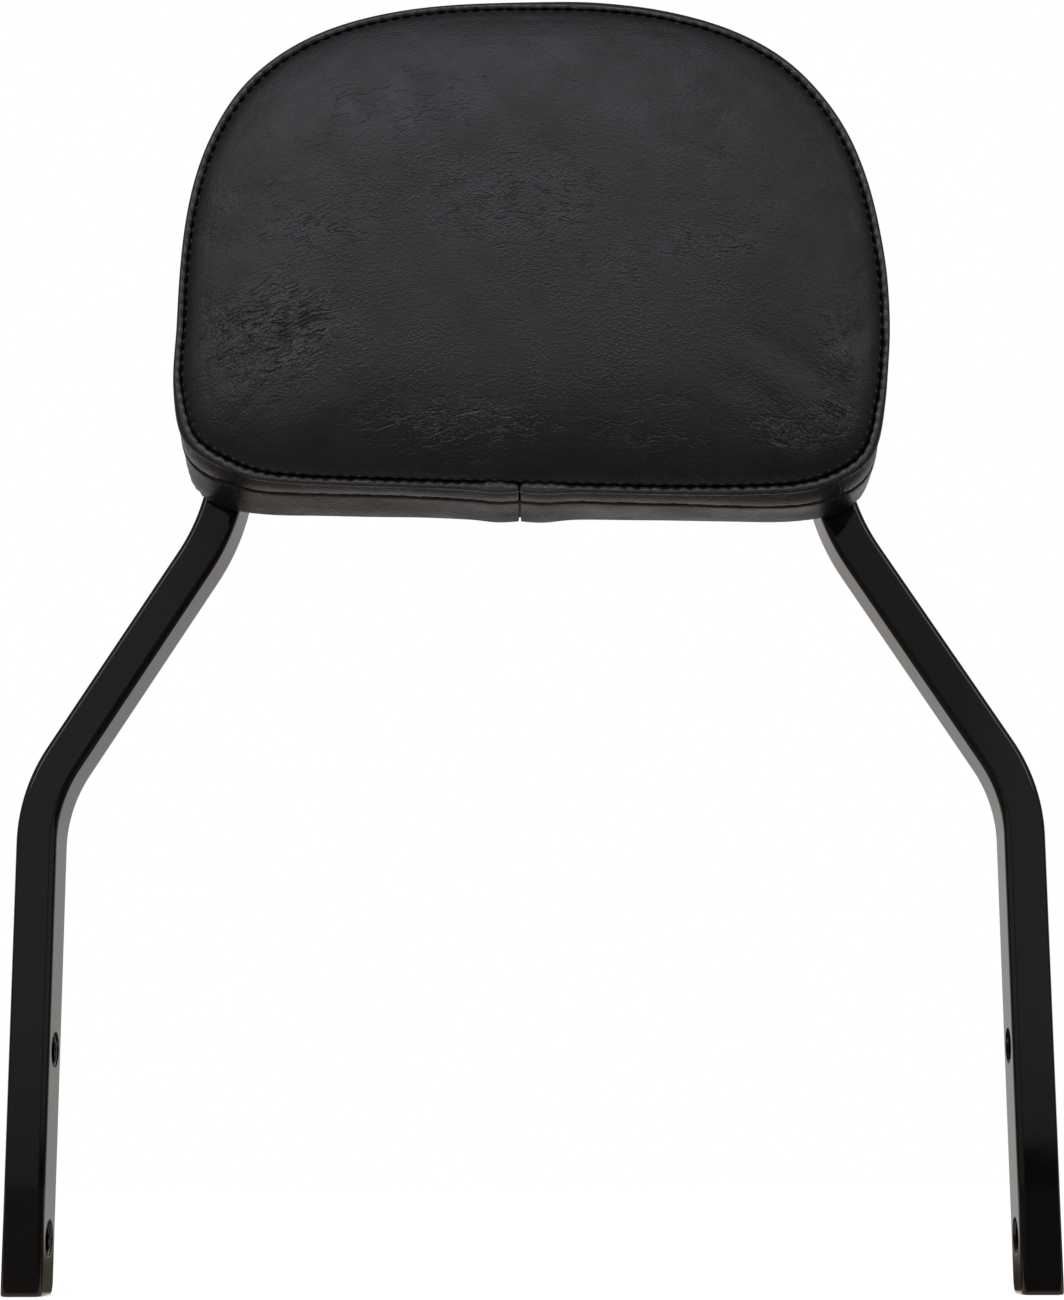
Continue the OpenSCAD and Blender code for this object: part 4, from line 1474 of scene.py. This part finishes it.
@dataclass
class Repeater:
    """Geometry Nodes that set copies of a small form at many places."""

    material: Material

    def tree(self, name: str, sizes: dict[str, float]) -> tuple[bpy.types.NodeTree, Graph, dict]:
        """Starts a tree with named inputs.

        Args:
            name: the tree's name.
            sizes: default of each input, in millimetres.

        Returns:
            The tree, its graph and the sockets of its inputs by name.
        """
        tree = bpy.data.node_groups.new(name, "GeometryNodeTree")
        tree.interface.new_socket("Geometry", in_out="INPUT", socket_type="NodeSocketGeometry")
        tree.interface.new_socket("Geometry", in_out="OUTPUT", socket_type="NodeSocketGeometry")
        for label, value in sizes.items():
            socket = tree.interface.new_socket(label, in_out="INPUT", socket_type="NodeSocketFloat")
            socket.default_value = value * MM
        graph = Graph(tree)
        entry = graph.add("NodeGroupInput")
        return tree, graph, {socket.name: socket for socket in entry.outputs if socket.name}

    def finish_tree(self, graph: Graph, points: Socket, form: Socket) -> None:
        """Sets the form at the points, realizes it and gives it its finish."""
        turn = graph.add("GeometryNodeInputNamedAttribute", {"Name": "turn"}, data_type="FLOAT_VECTOR")
        euler = graph.add("FunctionNodeEulerToRotation", {0: turn.outputs["Attribute"]})
        copies = graph.add("GeometryNodeInstanceOnPoints", {"Points": points, "Instance": form})
        graph.feed(copies.inputs["Rotation"], euler.outputs[0])
        real = graph.add("GeometryNodeRealizeInstances", {0: copies.outputs[0]})
        smooth = graph.add("GeometryNodeSetShadeSmooth", {0: real.outputs[0]})
        finish = graph.add("GeometryNodeSetMaterial", {0: smooth.outputs[0], "Material": self.material})
        out = graph.add("NodeGroupOutput")
        graph.feed(out.inputs[0], finish.outputs[0])

    def run(
        self,
        name: str,
        tree: bpy.types.NodeTree,
        places: np.ndarray,
        turns: np.ndarray,
        sizes: dict[str, float],
    ) -> Piece:
        """Runs a tree on a cloud of points.

        Args:
            name: the piece's name.
            tree: what to run.
            places: points in millimetres.
            turns: Euler angles, one row for each point.
            sizes: value of each named input, in millimetres.

        Returns:
            The plain mesh that it makes.
        """
        cloud = add_mesh(name, places, [], self.material)
        turn = cloud.data.attributes.new("turn", "FLOAT_VECTOR", "POINT")
        turn.data.foreach_set("vector", np.asarray(turns, np.float32).ravel())
        runner = cloud.modifiers.new("copies", "NODES")
        runner.node_group = tree
        for item in tree.interface.items_tree:
            if item.in_out == "INPUT" and item.name in sizes:
                runner[item.identifier] = sizes[item.name] * MM
        return evaluated(cloud)

    def stitches(self, name: str, seats: Seats, sizes: dict[str, float]) -> Piece:
        """Short bowed threads, one at each place, with the sizes Length and Radius."""
        tree, graph, given = self.tree("stitch_tree", sizes)
        half = graph.times(given["Length"], 0.5)
        dive = graph.times(given["Radius"], -2.2)
        start = graph.add("ShaderNodeCombineXYZ", {"X": graph.times(half, -1.0), "Z": dive})
        crest = graph.add("ShaderNodeCombineXYZ", {"Z": graph.times(given["Radius"], 2.6)})
        end = graph.add("ShaderNodeCombineXYZ", {"X": half, "Z": dive})
        bow = graph.add("GeometryNodeCurveQuadraticBezier", {"Resolution": 6})
        for socket, corner in zip(("Start", "Middle", "End"), (start, crest, end)):
            graph.feed(bow.inputs[socket], corner.outputs[0])
        ring = graph.add("GeometryNodeCurvePrimitiveCircle", {"Resolution": 6, "Radius": given["Radius"]})
        thread = graph.add("GeometryNodeCurveToMesh", {"Curve": bow.outputs[0], "Fill Caps": True})
        graph.feed(thread.inputs["Profile Curve"], ring.outputs[0])
        self.finish_tree(graph, given["Geometry"], thread.outputs[0])
        return self.run(name, tree, seats.places, seats.turns(), sizes)

    def helix(self, name: str, seats: Seats, sizes: dict[str, float]) -> Piece:
        """A ridge along each one's X axis, with the sizes Bore (a radius), Pitch, Length and Tooth."""
        tree, graph, given = self.tree("helix_tree", sizes)
        turns = graph.math("DIVIDE", given["Length"], given["Pitch"])
        coil = graph.add("GeometryNodeCurveSpiral", {"Resolution": 40, "Rotations": turns})
        for socket, value in (("Start Radius", "Bore"), ("End Radius", "Bore"), ("Height", "Length")):
            graph.feed(coil.inputs[socket], given[value])
        ring = graph.add("GeometryNodeCurvePrimitiveCircle", {"Resolution": 4, "Radius": given["Tooth"]})
        upright = graph.add("GeometryNodeSetCurveNormal", {0: coil.outputs[0]}, mode="Z_UP")
        ridge = graph.add("GeometryNodeCurveToMesh", {"Curve": upright.outputs[0], "Fill Caps": True})
        graph.feed(ridge.inputs["Profile Curve"], ring.outputs[0])
        laid = graph.add("GeometryNodeTransform", {0: ridge.outputs[0]})
        laid.inputs["Rotation"].default_value = (0.0, math.pi / 2, 0.0)
        self.finish_tree(graph, given["Geometry"], laid.outputs[0])
        return self.run(name, tree, seats.places, seats.turns(), sizes)

    def copies(self, name: str, master: Piece, places: np.ndarray) -> Piece:
        """Copies of a master mesh, which is removed, one at each place."""
        tree, graph, given = self.tree(name + "_tree", {})
        held = graph.add("GeometryNodeObjectInfo", {"Object": master})
        self.finish_tree(graph, given["Geometry"], held.outputs["Geometry"])
        piece = self.run(name, tree, places, np.zeros((len(places), 3)), {})
        bpy.data.objects.remove(master)
        return piece


@dataclass
class PadInsides:
    """What the cover hides: the board, its trim panel and the foam."""

    cover: Cover
    board: Material
    trim: Material
    foam_finish: Material
    barrel: float = 8.5
    barrel_length: float = 7.3
    board_inset: float = 2.6
    panel_inset: float = 16.3

    def plate(self, name: str, node: str, inset: float, material: Material, bevel: float) -> Piece:
        """A flat plate with the pad's outline, bored at the screws."""
        form = self.cover.form
        low, high = box_mm(node)
        along = form.even_columns()[::2]
        turns = form.turns_at(along)
        x, z = form.outline(turns, inset)
        rows = [form.askew(x, np.full_like(x, y), z, turns) for y in (low[1], high[1])]
        piece = add_tube(name, rows, material)
        profile = bore_profile(low[1], high[1], SCREW_BORE / 2)
        if node == "backing_board":
            wide, step = self.barrel / 2, low[1] + self.barrel_length
            profile[1:2] = [(wide, low[1] - PAST), (wide, step), (SCREW_BORE / 2, step)]
        piece = bored(piece, profile, screw_places(), material)
        soften(piece, SHARP_DEGREES, bevel)
        return piece

    def foam(self) -> Piece:
        """The moulded foam under the vinyl."""
        cover, form = self.cover, self.cover.form
        along = form.even_columns()[::4]
        groove = form.rim_y - form.back_y + cover.groove
        edge = cover.face_edge + 1.5
        points, _ = cover.domed(edge, groove, cover.crown + cover.groove - 1.8, 26, along)
        front = box_mm("backing_board")[0][1] - form.back_y
        wide = np.array([(3.6, front), (3.6, groove + 6.5), (edge, groove + 6.0)])
        body = form.rings(wide, along, False)
        piece = cover.capped("moulded_foam", np.concatenate([body, points]), self.foam_finish)
        soften(piece, SHARP_DEGREES)
        return piece

    def build(self) -> None:
        """Builds and settles the three pieces."""
        board = self.plate("plywood_board", "backing_board", self.board_inset, self.board, 0.4)
        settle(board, Slot.BOARD, "backing_board")
        panel = self.plate("trim_panel", "back_panel", self.panel_inset, self.trim, 0.35)
        settle(panel, Slot.TRIM, "back_panel")
        settle(self.foam(), Slot.FOAM, "foam_core")


def screw_places() -> list[tuple[float, float, float]]:
    """Places of the four pad screws, in millimetres, at zero depth."""
    screws_low, screws_high = box_mm("pad_screws")
    half = (screws_high[0] - screws_low[0]) / 2 - SCREW_HEAD / 2
    rows = (screws_low[2] + SCREW_HEAD / 2, screws_high[2] - SCREW_HEAD / 2)
    return [(side * half, 0.0, z) for z in rows for side in (-1, 1)]


@dataclass
class Straps:
    """The two flat straps across the hoop, and the welds that hold them."""

    bar: BentBar
    coat: Material
    weld_coat: Material
    edge: float = 0.7
    bite: float = 0.6
    leg: float = 4.0
    swell: float = 0.16
    ripple_pitch: float = 1.7
    ripple_depth: float = 0.07
    bead_steps: int = 110
    bead_end: float = 2.2
    bead_root: float = 0.4
    smooth_degrees: float = 70.0

    def inner_x(self, z: np.ndarray) -> np.ndarray:
        """Across place of the hoop's inner face at some heights."""
        bar = self.bar
        straight = bar.hoop_x - bar.width / 2
        rise = np.maximum(0.0, z - bar.hoop_side_z - bar.hoop_side)
        inner = bar.hoop_corner_radius - bar.width / 2
        bend = bar.hoop_x - bar.hoop_corner_radius + np.sqrt(np.maximum(0.0, inner**2 - rise**2))
        return np.where(rise > 0, bend, straight)

    def strap(self, node: str) -> Piece:
        """A strap with coped ends, eased edges and two screw holes."""
        low, high = box_mm(node)
        z = np.linspace(low[2], high[2], 25)
        ends = self.inner_x(z) + self.bite
        outline = [(x, h) for x, h in zip(ends, z)] + [(-x, h) for x, h in zip(ends[::-1], z[::-1])]
        rows = [[(x, y, h) for x, h in outline] for y in (low[1], high[1])]
        piece = add_tube(node + "_bar", rows, self.coat)
        places = [place for place in screw_places() if low[2] < place[2] < high[2]]
        piece = bored(piece, bore_profile(low[1], high[1], SCREW_BORE / 2), places, self.coat)
        soften(piece, SHARP_DEGREES, self.edge)
        return settle(piece, Slot.STRAP, node)

    def bead(self, node: str, side: int) -> tuple[np.ndarray, list[tuple[int, ...]]]:
        """One rippled fillet weld between a strap's back and the hoop.

        Args:
            node: the strap that it holds.
            side: -1 for the left end and 1 for the right.

        Returns:
            Its points in millimetres and its faces.
        """
        low, high = box_mm(node)
        steps = self.bead_steps
        z = np.linspace(low[2] + 0.2, high[2] - 0.2, steps)
        x = self.inner_x(z)
        slope = np.gradient(x, z)
        inward = np.stack([-np.ones_like(slope), slope], 1)
        inward /= np.linalg.norm(inward, axis=1, keepdims=True)
        turns = np.radians(np.linspace(0, 90, 13))
        rows = []
        for k in range(steps):
            from_end = min(z[k] - z[0], z[-1] - z[k])
            taper = math.sqrt(max(0.02, 1 - max(0.0, 1 - from_end / self.bead_end) ** 2))
            lag = 0.5 * self.ripple_pitch * np.sin(2 * turns)
            wave = np.abs(np.sin(np.pi * (z[k] + lag) / self.ripple_pitch)) ** 0.6
            wander = 1 + 0.05 * math.sin(z[k] * 0.9 + 2.0 * side) + 0.03 * math.sin(z[k] * 2.3)
            crown = 1 + self.swell * np.sin(2 * turns) + self.ripple_depth * (wave - 0.7)
            size = self.leg * taper * wander * crown
            reach = size / (np.cos(turns) + np.sin(turns))
            u, v = reach * np.cos(turns), reach * np.sin(turns)
            section = np.stack([x[k] + inward[k, 0] * u, high[1] + v, z[k] + inward[k, 1] * u], 1)
            root = np.array([x[k] - inward[k, 0] * self.bead_root, high[1] - self.bead_root, z[k]])
            rows.append(np.concatenate([section, [root]]))
        return np.concatenate(rows) * [side, 1, 1], tube_faces(steps, len(rows[0]))

    def welds(self) -> Piece:
        """All four beads as one piece."""
        points, faces = [], []
        for node in ("lower_strap", "upper_strap"):
            for side in (-1, 1):
                bead, rims = self.bead(node, side)
                start = sum(len(p) for p in points)
                faces += [tuple(start + k for k in rim) for rim in rims]
                points.append(bead)
        piece = add_mesh("rippled_welds", np.concatenate(points), faces, self.weld_coat)
        turn_outwards(piece)
        soften(piece, self.smooth_degrees)
        return settle(piece, Slot.STRAP, "weld_beads")

    def build(self) -> None:
        """Builds both straps and the welds."""
        self.strap("lower_strap")
        self.strap("upper_strap")
        self.welds()


@dataclass
class PadHardware:
    """The four button-head screws with their lock washers and flat washers."""

    zinc: Material
    shank: float = 6.35
    socket: float = 3.97
    socket_depth: float = 2.2
    washer: float = 18.4
    washer_edge: float = 0.35
    quarter_turn: float = 1.571
    lock_outer: float = 12.4
    lock_bore: float = 6.75
    lock_edge: float = 0.2
    split_degrees: float = 9.0
    crown_end: float = 1.42
    brim: float = 0.25
    neck: float = 0.35
    tip: float = 0.8
    screw_sides: int = 56
    washer_sides: int = 72
    sharp_degrees: float = 38.0

    def screw(self) -> Piece:
        """A button head with a hexagon socket, and its shank."""
        low, high = box_mm("pad_screws")
        top = high[1]
        seat = box_mm("lock_washers")[1][1]
        r = SCREW_HEAD / 2
        shank = self.shank / 2
        angles = np.linspace(0, self.crown_end, 14)
        profile = [(r * math.sin(a), seat + (top - seat) * math.cos(a) ** 0.8) for a in angles]
        profile += [(r, seat + self.brim), (r - 0.2, seat), (shank + 0.3, seat), (shank, seat - self.neck)]
        profile += [(shank, low[1] + self.tip), (shank - self.tip, low[1]), (0.0, low[1])]
        piece = lathe("screw", profile, self.zinc, self.screw_sides)
        across = self.socket / math.sqrt(3)
        corners = np.radians(np.arange(0, 360, 60))
        rows = [
            np.stack([across * np.cos(corners), np.full(len(corners), y), across * np.sin(corners)], 1)
            for y in (top - self.socket_depth, top + PAST)
        ]
        piece = cut(piece, [add_tube("socket", rows, self.zinc)])
        piece.data.set_sharp_from_angle(angle=math.radians(self.sharp_degrees))
        return piece

    def flat_washer(self) -> Piece:
        """A stamped washer: one edge rounded by the punch and one crisp."""
        low, high = box_mm("flat_washers")
        inner, outer, soft = SCREW_BORE / 2, self.washer / 2, self.washer_edge
        angles = np.linspace(0, self.quarter_turn, 5)
        height = high[1] - soft
        top = [(outer - soft + soft * math.sin(a), height + soft * math.cos(a)) for a in angles]
        bore = [(inner + soft - soft * math.sin(a), height + soft * math.cos(a)) for a in angles[::-1]]
        profile = [(inner, low[1]), *bore, *top, (outer, low[1]), (inner, low[1])]
        return lathe("washer", profile, self.zinc, self.washer_sides)

    def lock_washer(self) -> Piece:
        """A split ring of square section with eased edges."""
        low, high = box_mm("lock_washers")
        inner, outer, soft = self.lock_bore / 2, self.lock_outer / 2, self.lock_edge
        mid = (low[1] + high[1]) / 2
        thick = (high[1] - low[1]) / 2
        flank = thick - soft
        section = [(inner, -flank), (inner + soft, -thick), (outer - soft, -thick), (outer, -flank)]
        section += [(outer, flank), (outer - soft, thick), (inner + soft, thick), (inner, flank)]
        rows = []
        half = self.split_degrees / 2
        for a in np.radians(np.linspace(half, 360 - half, 64)):
            rows.append([(r * math.cos(a), mid + y, r * math.sin(a)) for r, y in section])
        return add_tube("lock_washer", rows, self.zinc)

    def build(self) -> None:
        """Sets each kind at its four places."""
        places = np.array(screw_places())
        for name, node, master in (
            ("button_screws", "pad_screws", self.screw()),
            ("split_washers", "lock_washers", self.lock_washer()),
            ("plain_washers", "flat_washers", self.flat_washer()),
        ):
            piece = Repeater(self.zinc).copies(name, master, places)
            soften(piece, self.sharp_degrees)
            settle(piece, Slot.ZINC, node)


@dataclass(frozen=True)
class Lamp:
    """A softbox: where it stands, its width and height in metres, and its power in watts."""

    name: str
    place: tuple[float, float, float]
    size: tuple[float, float]
    power: float
    aim: tuple[float, float, float] = (0.0, 0.0, 0.25)
    tint: str = "#ffffff"


@dataclass
class Studio:
    """Camera, lamps, world and floor."""

    backdrop_gloss: float = 0.64
    ceiling_gloss: float = 0.3
    low_gloss: float = 0.1
    high_gloss: float = 0.46
    flank_gloss: float = 0.4
    side_gloss: float = 0.12
    plain_light: float = 0.5
    floor_glow: float = 0.6
    lamps: tuple[Lamp, ...] = (
        Lamp("top_softbox", (-0.2, -1.25, 1.35), (1.5, 1.0), 9.0, tint="#f6f4ff"),
        Lamp("left_strip", (-1.1, -1.3, 0.9), (0.3, 0.6), 2.0),
        Lamp("right_strip", (1.1, -1.3, 0.9), (0.3, 0.6), 2.0),
    )
    camera_place: tuple[float, float, float] = (22.265, -790.706, 36.726)
    camera_turn: tuple[float, float, float] = (0.0258, 0.1967, 0.0031)
    lens: float = 72.49
    sensor: float = 36.0
    floor_reach: float = 6000.0

    def camera(self) -> None:
        """Puts the camera where the photograph was taken from."""
        data = bpy.data.cameras.new("camera")
        data.lens = self.lens
        data.sensor_width = self.sensor
        data.clip_start = 0.01
        data.clip_end = 50.0
        camera = bpy.data.objects.new("camera", data)
        bpy.context.collection.objects.link(camera)
        yaw, pitch, roll = self.camera_turn
        turn = Matrix.Rotation(yaw, 3, "Z") @ Matrix.Rotation(pitch, 3, "X") @ Matrix.Rotation(roll, 3, "Y")
        right, ahead, up = (turn @ Vector(axis) for axis in ((1, 0, 0), (0, 1, 0), (0, 0, 1)))
        axes = Matrix((right, up, -ahead)).transposed()
        camera.matrix_world = Matrix.Translation(Vector(self.camera_place) * MM) @ axes.to_4x4()
        bpy.context.scene.camera = camera

    def world(self) -> None:
        """White behind the object for the eye, softer for gloss, and a plain level for light.

        A direction's parts run from -1 to 1, so 0.5 in Z is 30 degrees up.
        """
        world = bpy.data.worlds.new("studio")
        bpy.context.scene.world = world
        world.use_nodes = True
        graph = Graph(world.node_tree)
        direction = graph.add("ShaderNodeTexCoord").outputs["Generated"]
        x, y, z = (graph.axis(direction, name) for name in "XYZ")
        aside = graph.math("ABSOLUTE", x)
        wall = graph.ramp(z, 0.13, 0.45, self.backdrop_gloss, self.ceiling_gloss)
        behind = graph.times(graph.ramp(y, 0.3, 0.75), wall)
        high = graph.ramp(z, -0.12, 0.5, self.low_gloss, self.high_gloss)
        ahead = graph.times(graph.ramp(y, 0.2, -0.4), high)
        sideways = graph.ramp(aside, 0.45, 0.8, 0.0, self.side_gloss)
        flank = graph.times(
            graph.ramp(aside, 0.1, 0.16),
            graph.ramp(z, -0.12, 0.08, 0.0, self.flank_gloss),
            graph.ramp(y, 0.0, -0.4),
        )
        card = graph.times(graph.ramp(x, 0.1, 0.106), graph.ramp(z, 0.014, 0.004), graph.ramp(y, 0.0, -0.3))
        level = graph.times(graph.most(behind, ahead, sideways, flank), graph.minus(1.0, card))
        cool = graph.ramp(z, 0.05, 0.4)
        tint = graph.mix(cool, linear("#fffaf6"), linear("#f3efff"))
        path = graph.add("ShaderNodeLightPath")
        seen = path.outputs["Is Camera Ray"]
        mirrored = graph.most(path.outputs["Is Glossy Ray"], path.outputs["Is Transmission Ray"])
        eye = graph.add("ShaderNodeBackground", {"Color": WHITE, "Strength": 1.0})
        gloss = graph.add("ShaderNodeBackground", {"Color": tint, "Strength": level})
        plain = graph.add("ShaderNodeBackground", {"Color": WHITE, "Strength": self.plain_light})
        first = graph.add("ShaderNodeMixShader", {0: mirrored, 1: plain.outputs[0], 2: gloss.outputs[0]})
        second = graph.add("ShaderNodeMixShader", {0: seen, 1: first.outputs[0], 2: eye.outputs[0]})
        output = graph.add("ShaderNodeOutputWorld")
        graph.feed(output.inputs["Surface"], second.outputs[0])

    def lamp(self, lamp: Lamp) -> None:
        """Adds a softbox that looks at the middle of the object."""
        data = bpy.data.lights.new(lamp.name, "AREA")
        data.shape = "RECTANGLE"
        data.size, data.size_y = lamp.size
        data.energy = lamp.power
        data.color = linear(lamp.tint)[:3]
        body = bpy.data.objects.new(lamp.name, data)
        bpy.context.collection.objects.link(body)
        body.location = lamp.place
        body.rotation_mode = "QUATERNION"
        body.rotation_quaternion = (Vector(lamp.aim) - body.location).to_track_quat("-Z", "Y")

    def floor(self) -> None:
        """A pale floor that reads as white where no shadow falls, and dims towards the front in gloss."""
        material = bpy.data.materials.new("floor_white")
        material.use_nodes = True
        graph = Graph(material.node_tree)
        path = graph.add("ShaderNodeLightPath")
        seen_directly, seen_in_gloss = path.outputs["Is Camera Ray"], path.outputs["Is Glossy Ray"]
        place = graph.millimetres()
        across, depth = graph.axis(place, "X"), graph.axis(place, "Y")
        front = graph.ramp(across, -150.0, 150.0, 0.14, 0.0)
        behind = graph.ramp(depth, 120.0, 950.0, 0.06, self.backdrop_gloss)
        underfoot = graph.times(graph.ramp(depth, -20.0, 5.0), graph.ramp(depth, 60.0, 35.0, 0.0, 0.9))
        glossy = graph.times(seen_in_gloss, graph.most(front, behind, underfoot))
        direct = graph.times(seen_directly, self.floor_glow)
        tint = graph.mix(graph.ramp(depth, 500.0, 950.0), linear("#ffe9d4"), WHITE)
        shade = graph.mix(seen_directly, tint, WHITE)
        glow = graph.add("ShaderNodeEmission", {"Color": shade, "Strength": graph.plus(glossy, direct)})
        paint = graph.add("ShaderNodeBsdfDiffuse", {"Color": linear("#ececec")})
        dull = graph.add("ShaderNodeBsdfDiffuse", {"Color": (0.0, 0.0, 0.0, 1.0)})
        seen = graph.add("ShaderNodeMixShader", {0: seen_in_gloss, 1: paint.outputs[0]})
        graph.feed(seen.inputs[2], dull.outputs[0])
        both = graph.add("ShaderNodeAddShader", {0: glow.outputs[0], 1: seen.outputs[0]})
        output = graph.add("ShaderNodeOutputMaterial")
        graph.feed(output.inputs["Surface"], both.outputs[0])
        reach = self.floor_reach
        corners = [(-reach, -reach, 0), (reach, -reach, 0), (reach, reach, 0), (-reach, reach, 0)]
        ground = add_mesh("floor", np.array(corners), [(0, 1, 2, 3)], material)

    def build(self) -> None:
        """Sets up the whole studio."""
        scene = bpy.context.scene
        scene.view_settings.view_transform = "Standard"
        self.camera()
        self.world()
        for lamp in self.lamps:
            self.lamp(lamp)
        self.floor()


FACE_CREASES = (
    CreaseGroup(-74.0, 284.0, 34.0, 26.0, 0.9),
    CreaseGroup(-64.0, 318.0, 30.0, 10.0, 0.6),
    CreaseGroup(0.0, 326.0, 44.0, 20.0, 0.55),
    CreaseGroup(-20.0, 257.0, 46.0, 10.0, 0.7),
    CreaseGroup(86.0, 256.0, 26.0, 8.0, 1.0),
    CreaseGroup(94.0, 276.0, 12.0, 20.0, 0.7),
    CreaseGroup(38.0, 252.0, 26.0, 8.0, 0.5),
    CreaseGroup(54.0, 311.0, 30.0, 8.0, 0.45),
)


def main() -> None:
    """Loads the frame and dresses it, piece by piece."""
    logging.basicConfig(level=logging.INFO, format="%(message)s")
    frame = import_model()
    coat = GlossCoat("gloss_powder_coat").build()
    vinyl = Vinyl("grained_vinyl", groups=FACE_CREASES).build()
    band_vinyl = Vinyl(
        "grained_vinyl_bands",
        roughness=0.34,
        crease_length=3.5,
        crease_pitch=1.6,
        everywhere=0.2,
        # Glossier, with a painted highlight, in front of this depth.
        polish_and_highlight_from=-26.0,
    ).build()
    thread = Thread("bonded_thread").build()
    zinc = Zinc("zinc_plate").build()
    bar = BentBar(coat)
    bar.build()
    weld_coat = GlossCoat("powder_coat_on_weld", roughness=0.09, peel_height=0.01).build()
    Straps(bar, coat, weld_coat).build()
    cover = Cover(PadForm(), vinyl, band_vinyl, thread)
    cover.build()
    board = Plywood("birch_plywood").build()
    trim = TrimBoard("grained_trim").build()
    PadInsides(cover, board, trim, OpenFoam("cut_foam").build()).build()
    PadHardware(zinc).build()
    nuts = frame["nodes"]["t_nuts"]
    nuts.data.materials.clear()
    nuts.data.materials.append(zinc)
    Studio().build()


if __name__ == "__main__":
    main()
